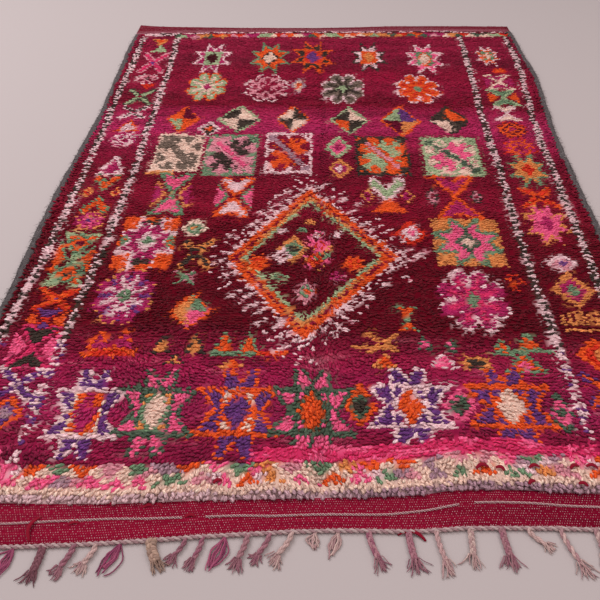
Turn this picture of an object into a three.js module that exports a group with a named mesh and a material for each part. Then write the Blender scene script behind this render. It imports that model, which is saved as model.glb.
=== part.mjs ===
// A hand-knotted wool rug lying flat on the floor, in millimetres, with +Z up.
// +X runs across the rug and +Y along it, away from the fringed end. Four pieces: the woven body with its
// lumpy pile slab and two flat-woven ends, an overcast selvedge on each long side, and the near end's
// fringe, whose plaited tassels are fused into a twisted end cord.
import * as THREE from 'three';

// Thicknesses over the floor, and the width of what is wrapped or twisted
const PILE_HEIGHT = 18;
const BAND_HEIGHT = 3.6;         // the flat-woven ends
const SIDE_FOOT_HEIGHT = 7;      // the body's edge where the selvedge grips it
const SELVEDGE_WIDTH = 24;
const SELVEDGE_HEIGHT = 11;
const CORD_WIDTH = 11;
const CORD_HEIGHT = 8;
const GAP = 0.3;                 // between any two pieces

// The pile's surface
const HALF_COLUMNS = 20;         // on each side of the crease
const ROWS = 58;
const LUMP_SIZE = 85;            // wool that clumps and parts
const LUMP_HEIGHT = 3.2;
const CLUMP_HEIGHT = 1.7;        // unevenness from one point to the next
const CREASE_HALF_WIDTH = 17;    // the valley left by folding the rug lengthwise
const CREASE_DEPTH = 5.5;
const CREASE_WANDER = 3;
const CREASE_PERIOD = 310;
const RIM_INSET = 30;            // from the rim to the nearest row or column of the pile's grid

// The locks of wool at the pile's rim
const END_LOCKS = 38;            // along each end
const SIDE_LOCKS = 48;           // along each side
const LOCK_REACH = 8;            // how far a lock hangs out past an end's rim
const LOCK_NOTCH = 6;            // how far the parting between two locks cuts in
const SIDE_SETBACK = 10;         // a side's locks stop short of the selvedge
const LOCK_HEIGHT = 13.5;
const NOTCH_HEIGHT = 9.5;
const LOCK_SLOPE = 2.5;          // from a lock's shoulder out to its foot
const LOCK_UNEVEN = 0.35;

// The knotted tassels
const TASSEL_WIDTH = 12.5;
const TASSEL_HEIGHT = 7.5;
const PLAIT_BUMPS = 4;
const BUMP_SHARE = 0.14;
const TIPS = 3;                  // loose ends of one tassel
const TIP_SHARE = 0.34;          // of the reach that is unravelled
const TIP_WIDTH = 5;
const TIP_HEIGHT = 4.4;
const TIP_FAN = 0.32;            // radians between two loose ends

// The outline as the rug lies: how far each long edge, over its selvedge, stands from the centre line
const SIDES = [
  { y: -1470, left: 903, right: 908 },
  { y: -1000, left: 904, right: 905 },
  { y: -620, left: 907, right: 902 },
  { y: -200, left: 913, right: 901 },
  { y: 130, left: 905, right: 902 },
  { y: 400, left: 894, right: 909 },
  { y: 620, left: 897, right: 925 },
  { y: 850, left: 904, right: 938 },
  { y: 1100, left: 908, right: 928 },
  { y: 1430, left: 905, right: 915 },
];

// The two ends as the rug lies: where each woven edge and each end of the pile runs along the rug
const ENDS = [
  { x: -910, near: -1466, nearPile: -1354, farPile: 1262, far: 1396 },
  { x: -800, near: -1458, nearPile: -1350, farPile: 1276, far: 1379 },
  { x: -480, near: -1437, nearPile: -1345, farPile: 1304, far: 1375 },
  { x: -240, near: -1413, nearPile: -1329, farPile: 1312, far: 1377 },
  { x: 0, near: -1393, nearPile: -1317, farPile: 1323, far: 1385 },
  { x: 220, near: -1388, nearPile: -1304, farPile: 1333, far: 1403 },
  { x: 340, near: -1377, nearPile: -1285, farPile: 1338, far: 1415 },
  { x: 600, near: -1374, nearPile: -1288, farPile: 1343, far: 1424 },
  { x: 940, near: -1379, nearPile: -1291, farPile: 1345, far: 1428 },
];

// Each tassel: place on the end cord, reach away from the rug, sideways sway and thickness against the usual
const TASSELS = [
  { x: -862, reach: 82, sway: -12, thick: 1.0 },
  { x: -808, reach: 92, sway: 16, thick: 1.1 },
  { x: -748, reach: 76, sway: -24, thick: 0.9 },
  { x: -692, reach: 88, sway: -12, thick: 1.0 },
  { x: -632, reach: 72, sway: -20, thick: 0.9 },
  { x: -570, reach: 88, sway: -8, thick: 1.2 },
  { x: -506, reach: 80, sway: -32, thick: 1.0 },
  { x: -461, reach: 72, sway: -32, thick: 0.9 },
  { x: -413, reach: 74, sway: -28, thick: 1.1 },
  { x: -346, reach: 76, sway: 30, thick: 1.6 },
  { x: -276, reach: 66, sway: -36, thick: 0.8 },
  { x: -240, reach: 80, sway: -24, thick: 0.9 },
  { x: -194, reach: 86, sway: -28, thick: 1.0 },
  { x: -146, reach: 90, sway: -30, thick: 1.0 },
  { x: -100, reach: 78, sway: -40, thick: 0.9 },
  { x: -54, reach: 84, sway: -52, thick: 0.9 },
  { x: -4, reach: 46, sway: 0, thick: 0.8 },
  { x: 45, reach: 66, sway: -18, thick: 0.9 },
  { x: 110, reach: 96, sway: 32, thick: 1.0 },
  { x: 194, reach: 100, sway: 15, thick: 1.1 },
  { x: 253, reach: 106, sway: 23, thick: 0.9 },
  { x: 326, reach: 96, sway: -4, thick: 1.0 },
  { x: 393, reach: 100, sway: 12, thick: 1.1 },
  { x: 450, reach: 60, sway: 54, thick: 0.9 },
  { x: 518, reach: 116, sway: 42, thick: 0.9 },
  { x: 592, reach: 84, sway: 8, thick: 1.0 },
  { x: 655, reach: 74, sway: 22, thick: 1.1 },
  { x: 714, reach: 94, sway: -8, thick: 0.9 },
  { x: 770, reach: 80, sway: 16, thick: 1.0 },
  { x: 826, reach: 90, sway: 20, thick: 1.2 },
  { x: 878, reach: 72, sway: -4, thick: 1.0 },
];

// Steps along the outline, shared by the body and the pieces that lie along it
const SIDE_STEPS = 104;
const FAR_STEPS = 44;
const CORD_STEP = 22;            // the longest stretch of end cord between two tassels' roots

// The flat underside is filled by rings that grow coarser inwards: size against the outline, points a side
const UNDERSIDE_INSET = 88;
const UNDERSIDE_RINGS = [
  { size: 1, points: 18 },
  { size: 0.8, points: 5 },
  { size: 0.4, points: 1 },
];

const wool = new THREE.MeshStandardMaterial({ color: '#7a1032', roughness: 0.95, metalness: 0 });
const goatHair = new THREE.MeshStandardMaterial({ color: '#4a443c', roughness: 0.9, metalness: 0 });
const warpYarn = new THREE.MeshStandardMaterial({ color: '#b08a8c', roughness: 0.95, metalness: 0 });

const { clamp, lerp } = THREE.MathUtils;
const range = (count) => Array.from({ length: count }, (_, i) => i);
const spaced = (from, to, steps) => range(steps + 1).map((i) => lerp(from, to, i / steps));

// A smooth curve through one column of a table, by its key column
function follow(table, key, column, at) {
  const last = table.length - 1;
  let row = 0;
  while (row < last - 1 && at > table[row + 1][key]) row += 1;
  const [before, from, to, after] = [-1, 0, 1, 2].map((step) => table[clamp(row + step, 0, last)]);
  const share = clamp((at - from[key]) / (to[key] - from[key]), 0, 1);
  const slope = (a, b) => (b === a ? 0 : (b[column] - a[column]) / (b[key] - a[key]));
  const run = to[key] - from[key];
  const [square, cube] = [share ** 2, share ** 3];
  return (2 * cube - 3 * square + 1) * from[column] + (cube - 2 * square + share) * slope(before, to) * run
    + (3 * square - 2 * cube) * to[column] + (cube - square) * slope(from, after) * run;
}

const leftEdge = (y) => -follow(SIDES, 'y', 'left', y);
const rightEdge = (y) => follow(SIDES, 'y', 'right', y);
const bodyLeft = (y) => leftEdge(y) + SELVEDGE_WIDTH + GAP;
const bodyRight = (y) => rightEdge(y) - SELVEDGE_WIDTH - GAP;
const nearEdge = (x) => follow(ENDS, 'x', 'near', x);
const nearPile = (x) => follow(ENDS, 'x', 'nearPile', x);
const farPile = (x) => follow(ENDS, 'x', 'farPile', x);
const farEdge = (x) => follow(ENDS, 'x', 'far', x);

// Where the pile's ends meet its sides, and the stations along each edge
const NEAR_LEFT_Y = nearPile(-SIDES[0].left);
const NEAR_RIGHT_Y = nearPile(SIDES[0].right);
const FAR_LEFT_Y = farPile(-SIDES.at(-1).left);
const FAR_RIGHT_Y = farPile(SIDES.at(-1).right);
const leftStations = spaced(NEAR_LEFT_Y, FAR_LEFT_Y, SIDE_STEPS);
const rightStations = spaced(NEAR_RIGHT_Y, FAR_RIGHT_Y, SIDE_STEPS);
const farStations = spaced(-SIDES.at(-1).left, SIDES.at(-1).right, FAR_STEPS);

// The near edge has a station at each side of every tassel's root, and even steps between the roots
const rootSides = TASSELS.flatMap(({ x, thick }) => (
  [-1, 1].map((side) => x + (side * TASSEL_WIDTH * thick) / 2)
));
const spans = [-SIDES[0].left, ...rootSides, SIDES[0].right];
const nearStations = spans.slice(1).flatMap((to, k) => {
  const isRoot = k % 2 === 1;
  const steps = isRoot ? 1 : Math.ceil((to - spans[k]) / CORD_STEP);
  return spaced(spans[k], to, steps).slice(k === 0 ? 0 : 1);
});

// A steady chance value from -1 to 1 for a pair of numbers
function chance(i, j) {
  const wave = Math.sin(i * 127.1 + j * 311.7) * 43758.5453;
  return (wave - Math.floor(wave)) * 2 - 1;
}

// Smooth lumps: the chance values at the corners of square cells, eased across each cell
function lumps(x, y) {
  const [i, j] = [Math.floor(x / LUMP_SIZE), Math.floor(y / LUMP_SIZE)];
  const [a, b] = [x / LUMP_SIZE - i, y / LUMP_SIZE - j].map((t) => t * t * (3 - 2 * t));
  const low = lerp(chance(i, j), chance(i + 1, j), a);
  const high = lerp(chance(i, j + 1), chance(i + 1, j + 1), a);
  return lerp(low, high, b);
}

const creaseLine = (y) => CREASE_WANDER * Math.sin(y / CREASE_PERIOD);

function pileHeight(x, y) {
  const off = (x - creaseLine(y)) / CREASE_HALF_WIDTH;
  const valley = CREASE_DEPTH * Math.exp(-off * off);
  const clump = CLUMP_HEIGHT * chance(Math.round(x), Math.round(y));
  return PILE_HEIGHT + LUMP_HEIGHT * lumps(x, y) + clump - valley;
}

// One closed body, filled strip by strip between lines of points
class Shell {
  points = [];

  faces = [];

  line(points) {
    return points.map((point) => this.points.push(new THREE.Vector3(...point)) - 1);
  }

  // Fills between two lines that run the same way: seen from outside, the second lies left of the first.
  // Lines of as many points are joined pair by pair, and others by the shorter way across at each step.
  strip(right, left) {
    const paired = right.length === left.length;
    const length = (a, b) => this.points[a].distanceTo(this.points[b]);
    let [i, j] = [0, 0];
    while (i < right.length - 1 || j < left.length - 1) {
      const isRightDone = i === right.length - 1;
      const isLeftDone = j === left.length - 1;
      const isRightNearer = () => length(right[i + 1], left[j]) <= length(right[i], left[j + 1]);
      if (!isRightDone && (isLeftDone || (paired ? i === j : isRightNearer()))) {
        this.faces.push(right[i], right[i + 1], left[j]);
        i += 1;
      } else {
        this.faces.push(right[i], left[j + 1], left[j]);
        j += 1;
      }
    }
  }

  fan(loop) {
    range(loop.length - 2).forEach((i) => this.faces.push(loop[0], loop[i + 1], loop[i + 2]));
  }

  geometry() {
    const geometry = new THREE.BufferGeometry().setFromPoints(this.points);
    geometry.setIndex(this.faces);
    return geometry;
  }
}

const closed = (loop) => [...loop, loop[0]];

// A bar through closed sections, each section's points running clockwise seen from the start
function bar(sections) {
  const shell = new Shell();
  const rings = sections.map((section) => shell.line(section));
  rings.slice(1).forEach((ring, k) => shell.strip(closed(rings[k]), closed(ring)));
  shell.fan([...rings[0]].reverse());
  shell.fan(rings.at(-1));
  return shell.geometry();
}

// A rim's locks between its two corners: the odd points are tips, the even ones partings
function lockLine(locks, seed, place) {
  return range(2 * locks - 1).map((k) => {
    const isTip = k % 2 === 0;
    const uneven = 1 + LOCK_UNEVEN * chance(k, seed);
    const height = (isTip ? LOCK_HEIGHT : NOTCH_HEIGHT) + chance(k, seed + 9);
    return place((k + 1) / (2 * locks), (isTip ? LOCK_REACH : -LOCK_NOTCH) * uneven, height);
  });
}

// The locks along one end, and their feet on the flat-woven band
function endLocks(pileLine, outward, seed) {
  const [left, right] = [-SIDES[0].left, SIDES[0].right].map((x) => x - Math.sign(x) * SELVEDGE_WIDTH);
  const shoulders = lockLine(END_LOCKS, seed, (share, out, height) => {
    const x = lerp(left, right, share);
    return [x, pileLine(x) + outward * out, height];
  });
  const feet = shoulders.map(([x, y]) => [x, y + outward * LOCK_SLOPE, BAND_HEIGHT]);
  return { shoulders, feet };
}

// The locks along one side: they stay inside the body's edge, where the selvedge lies
function sideLocks(edge, outward, from, to, seed) {
  return lockLine(SIDE_LOCKS, seed, (share, out, height) => {
    const y = lerp(from, to, share);
    return [edge(y) + outward * (out - SIDE_SETBACK), y, height];
  });
}

function bodyGeometry() {
  const shell = new Shell();

  // The pile's top, by rows from the near end, with a column along the crease
  const rows = spaced(0, 1, ROWS).map((share) => shell.line(range(2 * HALF_COLUMNS + 1).map((k) => {
    const step = k - HALF_COLUMNS;
    const rough = (step / HALF_COLUMNS) * SIDES[0].left;
    const y = lerp(nearPile(rough) + RIM_INSET, farPile(rough) - RIM_INSET, share);
    const lip = creaseLine(y) + Math.sign(step) * CREASE_HALF_WIDTH;
    const rim = step < 0 ? bodyLeft(y) + RIM_INSET : bodyRight(y) - RIM_INSET;
    const x = step === 0 ? lip : lerp(lip, rim, (Math.abs(step) - 1) / (HALF_COLUMNS - 1));
    return [x, y, pileHeight(x, y)];
  })));
  rows.slice(1).forEach((row, j) => shell.strip(rows[j], row));

  // The corners of the pile's rim: on the shoulder of the pile, and at its foot where the selvedge starts
  const corners = [
    [bodyLeft(NEAR_LEFT_Y), NEAR_LEFT_Y, 1, 1],
    [bodyRight(NEAR_RIGHT_Y), NEAR_RIGHT_Y, -1, 1],
    [bodyRight(FAR_RIGHT_Y), FAR_RIGHT_Y, -1, -1],
    [bodyLeft(FAR_LEFT_Y), FAR_LEFT_Y, 1, -1],
  ];
  const shoulder = shell.line(corners.map(([x, y, inX, inY]) => (
    [x + inX * LOCK_NOTCH, y + inY * LOCK_NOTCH, NOTCH_HEIGHT]
  )));
  const foot = shell.line(corners.map(([x, y]) => [x, y, BAND_HEIGHT]));

  // The rim's four sides, counter-clockwise from the near end: locks, their feet, and the pile's own border
  const near = endLocks(nearPile, -1, 1);
  const far = endLocks(farPile, 1, 2);
  const side = (stations, edge) => stations.slice(1, -1).map((y) => [edge(y), y, SIDE_FOOT_HEIGHT]);
  const rims = [
    { locks: near.shoulders, feet: near.feet, border: rows[0] },
    {
      locks: sideLocks(bodyRight, 1, NEAR_RIGHT_Y, FAR_RIGHT_Y, 3),
      feet: side(rightStations, bodyRight),
      border: rows.map((row) => row.at(-1)),
    },
    { locks: far.shoulders.reverse(), feet: far.feet.reverse(), border: [...rows.at(-1)].reverse() },
    {
      locks: sideLocks(bodyLeft, -1, NEAR_LEFT_Y, FAR_LEFT_Y, 4).reverse(),
      feet: side(leftStations, bodyLeft).reverse(),
      border: rows.map((row) => row[0]).reverse(),
    },
  ];
  const feet = rims.map(({ locks, feet: feetPoints, border }, k) => {
    const next = (k + 1) % rims.length;
    const lockRow = [shoulder[k], ...shell.line(locks), shoulder[next]];
    const footRow = [foot[k], ...shell.line(feetPoints), foot[next]];
    shell.strip(lockRow, border);
    shell.strip(footRow, lockRow);
    return footRow;
  });

  // The flat-woven ends, as wide as the rug over its selvedges, with a face of its own at each end's corners
  const onBand = (edge, pileY, line, stations) => [
    [edge(pileY), pileY, BAND_HEIGHT],
    ...stations.map((x) => [x, line(x), BAND_HEIGHT]),
  ];
  const nearOuter = shell.line([
    ...onBand(leftEdge, NEAR_LEFT_Y, nearEdge, nearStations),
    [rightEdge(NEAR_RIGHT_Y), NEAR_RIGHT_Y, BAND_HEIGHT],
  ]);
  const farOuter = shell.line([
    ...onBand(rightEdge, FAR_RIGHT_Y, farEdge, [...farStations].reverse()),
    [leftEdge(FAR_LEFT_Y), FAR_LEFT_Y, BAND_HEIGHT],
  ]);
  [[nearOuter, feet[0]], [farOuter, feet[2]]].forEach(([outer, inside]) => {
    shell.faces.push(outer[0], outer[1], inside[0]);
    shell.strip(outer.slice(1, -1), inside);
    shell.faces.push(outer.at(-2), outer.at(-1), inside.at(-1));
  });

  // The outer wall down to the floor, and the flat underside
  const outline = [...nearOuter, ...feet[1], ...farOuter, ...feet[3]];
  const floorLine = shell.line(outline.map((index) => [shell.points[index].x, shell.points[index].y, 0]));
  shell.strip(closed(floorLine), closed(outline));
  const inner = [
    [-1, nearEdge(-SIDES[0].left + UNDERSIDE_INSET) + UNDERSIDE_INSET / 2],
    [1, nearEdge(SIDES[0].right - UNDERSIDE_INSET) + UNDERSIDE_INSET / 2],
    [1, farEdge(SIDES[0].right) - UNDERSIDE_INSET / 2],
    [-1, farEdge(-SIDES[0].left) - UNDERSIDE_INSET / 2],
  ].map(([sign, y]) => [sign * (SIDES[0].left - UNDERSIDE_INSET), y]);
  const last = UNDERSIDE_RINGS.reduce((outer, { size, points }) => {
    const loop = shell.line(inner.flatMap(([x, y], k) => {
      const [nextX, nextY] = inner[(k + 1) % inner.length];
      return spaced(0, 1, points).slice(1).map((share) => (
        [size * lerp(x, nextX, share), size * lerp(y, nextY, share), 0]
      ));
    }));
    shell.strip(closed(loop), closed(outer));
    return loop;
  }, floorLine);
  shell.fan([...last].reverse());
  return shell.geometry();
}

// The selvedge's section, as shares of its width from the outer edge and of its height
const SELVEDGE_SECTION = [
  { inward: 0.05, up: 0 },
  { inward: 0, up: 0.35 },
  { inward: 0.18, up: 0.84 },
  { inward: 0.5, up: 1 },
  { inward: 0.86, up: 0.88 },
  { inward: 1, up: 0.5 },
  { inward: 1, up: 0 },
];
const WRAP_UNEVEN = 1.1;         // how far the overcast wraps swell and sink

function selvedgeGeometry(stations, edge, inward, seed) {
  const places = stations.map((y, k) => y + (k === 0 ? GAP : 0) - (k === stations.length - 1 ? GAP : 0));
  return bar(places.map((y, k) => {
    const swell = WRAP_UNEVEN * (k % 2 === 0 ? 1 : -1) * (1 + chance(k, seed)) / 2;
    const section = SELVEDGE_SECTION.map((point) => {
      const outer = (1 - point.inward) * (point.up > 0 ? swell : 0);
      const rise = point.up * (point.inward < 1 ? swell : 0);
      const x = edge(y) + inward * (point.inward * SELVEDGE_WIDTH - outer);
      return [x, y, point.up * SELVEDGE_HEIGHT + rise];
    });
    return inward > 0 ? section : section.reverse();
  }));
}

// The end cord's section, as shares of its width from the woven edge and of its height; the tassels grow
// out of the side that follows the fourth point
const CORD_SECTION = [
  { outward: 0, up: 0 },
  { outward: 0, up: 0.75 },
  { outward: 0.45, up: 1 },
  { outward: 1, up: 0.65 },
  { outward: 0.94, up: 0 },
];
const ROOT_SIDE = 3;
const TWIST_UNEVEN = 0.6;

function cordSection(x, k) {
  const swell = TWIST_UNEVEN * (k % 2 === 0 ? 1 : -1);
  return CORD_SECTION.map(({ outward, up }) => [
    x,
    nearEdge(x) - GAP - outward * (CORD_WIDTH + swell),
    up * (CORD_HEIGHT + swell),
  ]);
}

// A strand's section, its flat side on the floor, as shares of its width and height
const FOUR_SIDED = [
  { across: 0.5, up: 0 },
  { across: 0.33, up: 1 },
  { across: -0.33, up: 1 },
  { across: -0.5, up: 0 },
];
const THREE_SIDED = [
  { across: 0.5, up: 0 },
  { across: 0, up: 1 },
  { across: -0.5, up: 0 },
];

// The points of a section at a place on the floor, square to its heading
function across(section, { x, y, heading, width, height }) {
  return section.map((point) => [
    x + point.across * width * Math.cos(heading),
    y + point.across * width * Math.sin(heading),
    point.up * height,
  ]);
}

// Where a tassel parts into its loose ends: a row of three-sided roots side by side, clockwise from the left
function fork(place) {
  const floor = range(TIPS + 1).map((k) => ({ across: 0.5 - k / TIPS, up: 0 }));
  const crests = range(TIPS).map((k) => ({ across: 0.5 - (k + 0.5) / TIPS, up: 1 }));
  return across([floor[0], ...crests, ...floor.slice(1).reverse()], place);
}

// One tassel from the four points of its root: a plaited body that bends sideways, and loose ends
function addTassel(shell, root, { x: rootX, reach, sway, thick }, index) {
  const rootY = nearEdge(rootX) - GAP - CORD_WIDTH;
  const shape = (share) => ({
    x: rootX + sway * share ** 1.5,
    y: rootY - (reach - CORD_WIDTH) * share,
    heading: Math.atan(1.5 * sway * Math.sqrt(share) / reach),
    width: TASSEL_WIDTH * thick,
    height: TASSEL_HEIGHT * (1 + thick) / 2,
  });
  const plait = spaced(0, 1 - TIP_SHARE, PLAIT_BUMPS).slice(1, -1).reduce((ring, share, k) => {
    const place = shape(share);
    const bump = 1 + BUMP_SHARE * (k % 2 === 0 ? 1 : -1);
    const [width, height] = [place.width * bump, place.height * bump];
    const next = shell.line(across(FOUR_SIDED, { ...place, width, height }));
    shell.strip(closed(ring), closed(next));
    return next;
  }, root);
  const end = shape(1 - TIP_SHARE);
  const forked = shell.line(fork({ ...end, width: TIPS * TIP_WIDTH * thick, height: TIP_HEIGHT }));
  shell.strip(closed(plait), closed(forked));

  const crests = forked.slice(1, TIPS + 1);
  const floor = [forked[0], ...forked.slice(TIPS + 1).reverse()];
  range(TIPS - 1).forEach((k) => shell.fan([crests[k], crests[k + 1], floor[k + 1]]));
  crests.forEach((crest, k) => {
    const turn = (TIPS - 1) / 2 - k;
    const heading = end.heading + turn * TIP_FAN + 0.12 * chance(index, k);
    const length = reach * TIP_SHARE * (1 + 0.2 * chance(k, index));
    const offset = turn * TIP_WIDTH * thick;
    const tip = [{ along: 0.5, size: 0.85 }, { along: 1, size: 0.45 }].reduce((ring, { along, size }) => {
      const next = shell.line(across(THREE_SIDED, {
        x: end.x + offset * Math.cos(end.heading) + along * length * Math.sin(heading),
        y: end.y + offset * Math.sin(end.heading) - along * length * Math.cos(heading),
        heading,
        width: size * TIP_WIDTH,
        height: size * TIP_HEIGHT,
      }));
      shell.strip(closed(ring), closed(next));
      return next;
    }, [floor[k], crest, floor[k + 1]]);
    shell.fan(tip);
  });
}

function fringeGeometry() {
  const shell = new Shell();
  const rings = nearStations.map((x, k) => shell.line(cordSection(x, k)));
  rings.slice(1).forEach((ring, k) => {
    const last = rings[k];
    const index = TASSELS.findIndex(({ x }) => x > nearStations[k] && x < nearStations[k + 1]);
    range(CORD_SECTION.length).forEach((side) => {
      const next = (side + 1) % CORD_SECTION.length;
      if (side === ROOT_SIDE && index >= 0) {
        addTassel(shell, [ring[next], ring[side], last[side], last[next]], TASSELS[index], index);
      } else {
        shell.strip([last[side], last[next]], [ring[side], ring[next]]);
      }
    });
  });
  shell.fan([...rings[0]].reverse());
  shell.fan(rings.at(-1));
  return shell.geometry();
}

function piece(name, geometry, material) {
  geometry.computeVertexNormals();
  const mesh = new THREE.Mesh(geometry, material);
  mesh.name = name;
  return mesh;
}

const rug = new THREE.Group();
rug.add(
  piece('rug_body', bodyGeometry(), wool),
  piece('selvedge_left', selvedgeGeometry(leftStations, leftEdge, 1, 5), goatHair),
  piece('selvedge_right', selvedgeGeometry(rightStations, rightEdge, -1, 6), goatHair),
  piece('fringe_near', fringeGeometry(), warpYarn),
);

// The origin is the middle of the rug's footprint, on the floor
const middle = new THREE.Box3().setFromObject(rug).getCenter(new THREE.Vector3());
rug.position.set(-middle.x, -middle.y, 0);

export default rug;
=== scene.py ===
"""A hand-knotted wool rug lying flat on a plain pale floor.

The rug is dressed in its own yarns: some forty-five thousand locks of knotted pile over a woven ground with
flat-woven ends, an overcast selvedge of dark hair along each side, and a twisted end cord with tassels.
Everything is in metres, but for FIGURE_ROWS. A place on the rug is given by u, across it, and v, along it
away from the tassels, both from the middle of the weave, and Outline carries it into the frame.
"""

import logging
import math
from dataclasses import dataclass, field
from enum import Enum, member
from typing import Sequence

import bpy
import numpy as np
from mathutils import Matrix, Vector


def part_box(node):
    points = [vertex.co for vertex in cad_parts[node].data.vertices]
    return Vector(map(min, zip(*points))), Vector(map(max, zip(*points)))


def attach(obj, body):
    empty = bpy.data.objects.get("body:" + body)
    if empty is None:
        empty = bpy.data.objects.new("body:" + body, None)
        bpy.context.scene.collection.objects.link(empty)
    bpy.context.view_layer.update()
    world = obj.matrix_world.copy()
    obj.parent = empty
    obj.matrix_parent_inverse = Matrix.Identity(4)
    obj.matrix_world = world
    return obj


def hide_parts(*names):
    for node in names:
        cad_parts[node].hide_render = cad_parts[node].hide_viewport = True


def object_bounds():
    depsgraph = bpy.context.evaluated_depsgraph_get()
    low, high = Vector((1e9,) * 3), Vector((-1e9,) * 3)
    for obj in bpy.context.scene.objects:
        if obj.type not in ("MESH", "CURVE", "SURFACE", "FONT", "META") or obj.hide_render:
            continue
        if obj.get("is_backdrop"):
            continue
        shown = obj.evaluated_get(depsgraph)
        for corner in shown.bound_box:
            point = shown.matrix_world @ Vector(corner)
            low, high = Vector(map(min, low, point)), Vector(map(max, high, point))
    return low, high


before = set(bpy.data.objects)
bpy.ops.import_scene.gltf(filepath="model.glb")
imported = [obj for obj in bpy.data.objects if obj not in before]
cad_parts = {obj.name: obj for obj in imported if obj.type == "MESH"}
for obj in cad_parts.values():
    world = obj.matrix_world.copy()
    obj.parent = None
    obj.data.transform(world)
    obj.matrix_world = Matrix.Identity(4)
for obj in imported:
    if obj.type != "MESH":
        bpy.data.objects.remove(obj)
CAD_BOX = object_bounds()

log = logging.getLogger("rug")
Array = np.ndarray
BODY = "root"
BAKE_MAP = "OFBake"
TAU = 2 * math.pi
# Where, along the rug, the pile turns from long and sleek to short and plump
PLUMP_PART = (-0.74, -0.86)
# How high above the floor the lowest yarn lies
FLOOR_GAP = 0.0002


def columns(names: str, rows: Sequence[Sequence[float]]) -> dict[str, Array]:
    """Turn a table's rows into named columns.

    Args:
        names: the columns' names, parted by spaces.
        rows: one row of numbers for each entry of the table.

    Returns:
        Each column as an array, by name.
    """
    return dict(zip(names.split(), np.array(rows, float).T))


# How far each long edge, over its selvedge, stands from the centre line
SIDES = columns("v left right", (
    (-1.470, 0.903, 0.908), (-1.000, 0.904, 0.905), (-0.620, 0.907, 0.902), (-0.200, 0.913, 0.901),
    (0.130, 0.905, 0.902), (0.400, 0.894, 0.909), (0.620, 0.897, 0.925), (0.850, 0.904, 0.938),
    (1.100, 0.908, 0.928), (1.430, 0.905, 0.915),
))

# Where each woven edge and each end of the pile runs across the rug
ENDS = columns("u near near_pile far_pile far", (
    (-0.910, -1.466, -1.354, 1.262, 1.396), (-0.800, -1.458, -1.350, 1.276, 1.379),
    (-0.480, -1.437, -1.345, 1.304, 1.375), (-0.240, -1.413, -1.329, 1.312, 1.377),
    (0.000, -1.393, -1.317, 1.323, 1.385), (0.220, -1.388, -1.304, 1.333, 1.403),
    (0.340, -1.377, -1.285, 1.338, 1.415), (0.600, -1.374, -1.288, 1.343, 1.424),
    (0.940, -1.379, -1.291, 1.345, 1.428),
))


class Make(Enum):
    """How a tassel's yarns are held together, by the letter that stands for it in TASSEL_MAKES."""

    PLAIT = "P"
    TWIST = "T"
    LOOSE = "L"


# How far from the pile's end the twined line lies on the near band
TWINED = columns("u back", (
    (-0.910, 0.055), (-0.680, 0.051), (-0.570, 0.044), (-0.460, 0.040), (-0.300, 0.0415), (0.000, 0.043),
    (0.140, 0.046), (0.220, 0.041), (0.300, 0.037), (0.440, 0.033), (0.620, 0.036), (0.940, 0.038),
))

# Each tassel: its place on the end cord, its reach, its sideways sway and its thickness against the usual
TASSELS = columns("u reach sway thick", (
    (-0.862, 0.082, -0.012, 1.0), (-0.808, 0.092, 0.016, 1.1), (-0.748, 0.076, -0.024, 0.9),
    (-0.692, 0.088, -0.012, 1.0), (-0.632, 0.072, -0.020, 0.9), (-0.570, 0.088, -0.008, 1.2),
    (-0.506, 0.080, -0.032, 1.0), (-0.461, 0.072, -0.032, 0.9), (-0.413, 0.074, -0.028, 1.1),
    (-0.346, 0.076, 0.030, 1.6), (-0.276, 0.066, -0.036, 0.8), (-0.240, 0.080, -0.024, 0.9),
    (-0.194, 0.086, -0.028, 1.0), (-0.146, 0.090, -0.030, 1.0), (-0.100, 0.078, -0.040, 0.9),
    (-0.054, 0.084, -0.052, 0.9), (-0.004, 0.046, 0.000, 0.8), (0.045, 0.066, -0.018, 0.9),
    (0.110, 0.096, 0.032, 1.0), (0.194, 0.100, 0.015, 1.1), (0.253, 0.106, 0.023, 0.9),
    (0.326, 0.096, -0.004, 1.0), (0.393, 0.100, 0.012, 1.1), (0.450, 0.060, 0.054, 0.9),
    (0.518, 0.116, 0.042, 0.9), (0.592, 0.084, 0.008, 1.0), (0.655, 0.074, 0.022, 1.1),
    (0.714, 0.094, -0.008, 0.9), (0.770, 0.080, 0.016, 1.0), (0.826, 0.090, 0.020, 1.2),
    (0.878, 0.072, -0.004, 1.0),
))
# How each of them is made, and which pair of dyes it has, by a letter for each
TASSEL_MAKES = "PTLPLPTTLPTTLTTTLLPPTPPTTTLPTPT"
TASSEL_DYES = "mdpdrdmprtmmrmmpppmmppmpppmdtmp"
DYES = {
    "m": ("#A8767E", "#8E5466"), "d": ("#744850", "#8C5A66"), "p": ("#CDADA6", "#B08488"),
    "r": ("#84385A", "#AE5A76"), "t": ("#AC8C7C", "#92706A"),
}


class Yarn(Enum):
    """The dyed wools of the rug, by their colour as seen in daylight."""

    CREAM = "#F3C9B8"
    BLUSH = "#F3C6CB"
    ORANGE = "#EE5824"
    CORAL = "#DC3420"
    AMBER = "#E58C50"
    PINK = "#F8608E"
    CERISE = "#DE3468"
    ROSE = "#DE8E9C"
    MAGENTA = "#B42660"
    PURPLE = "#6E397B"
    LILAC = "#B08694"
    GREEN = "#758F6F"
    SAGE = "#A8B58D"
    PINE = "#526250"
    STONE = "#7C675C"
    SOOT = "#43352F"
    CRIMSON = "#8E1230"
    MAROON = "#6E0E2C"
    WINE = "#470A18"

    @property
    def light(self) -> Array:
        """The colour as linear light."""
        return linear(self.value)


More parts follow.
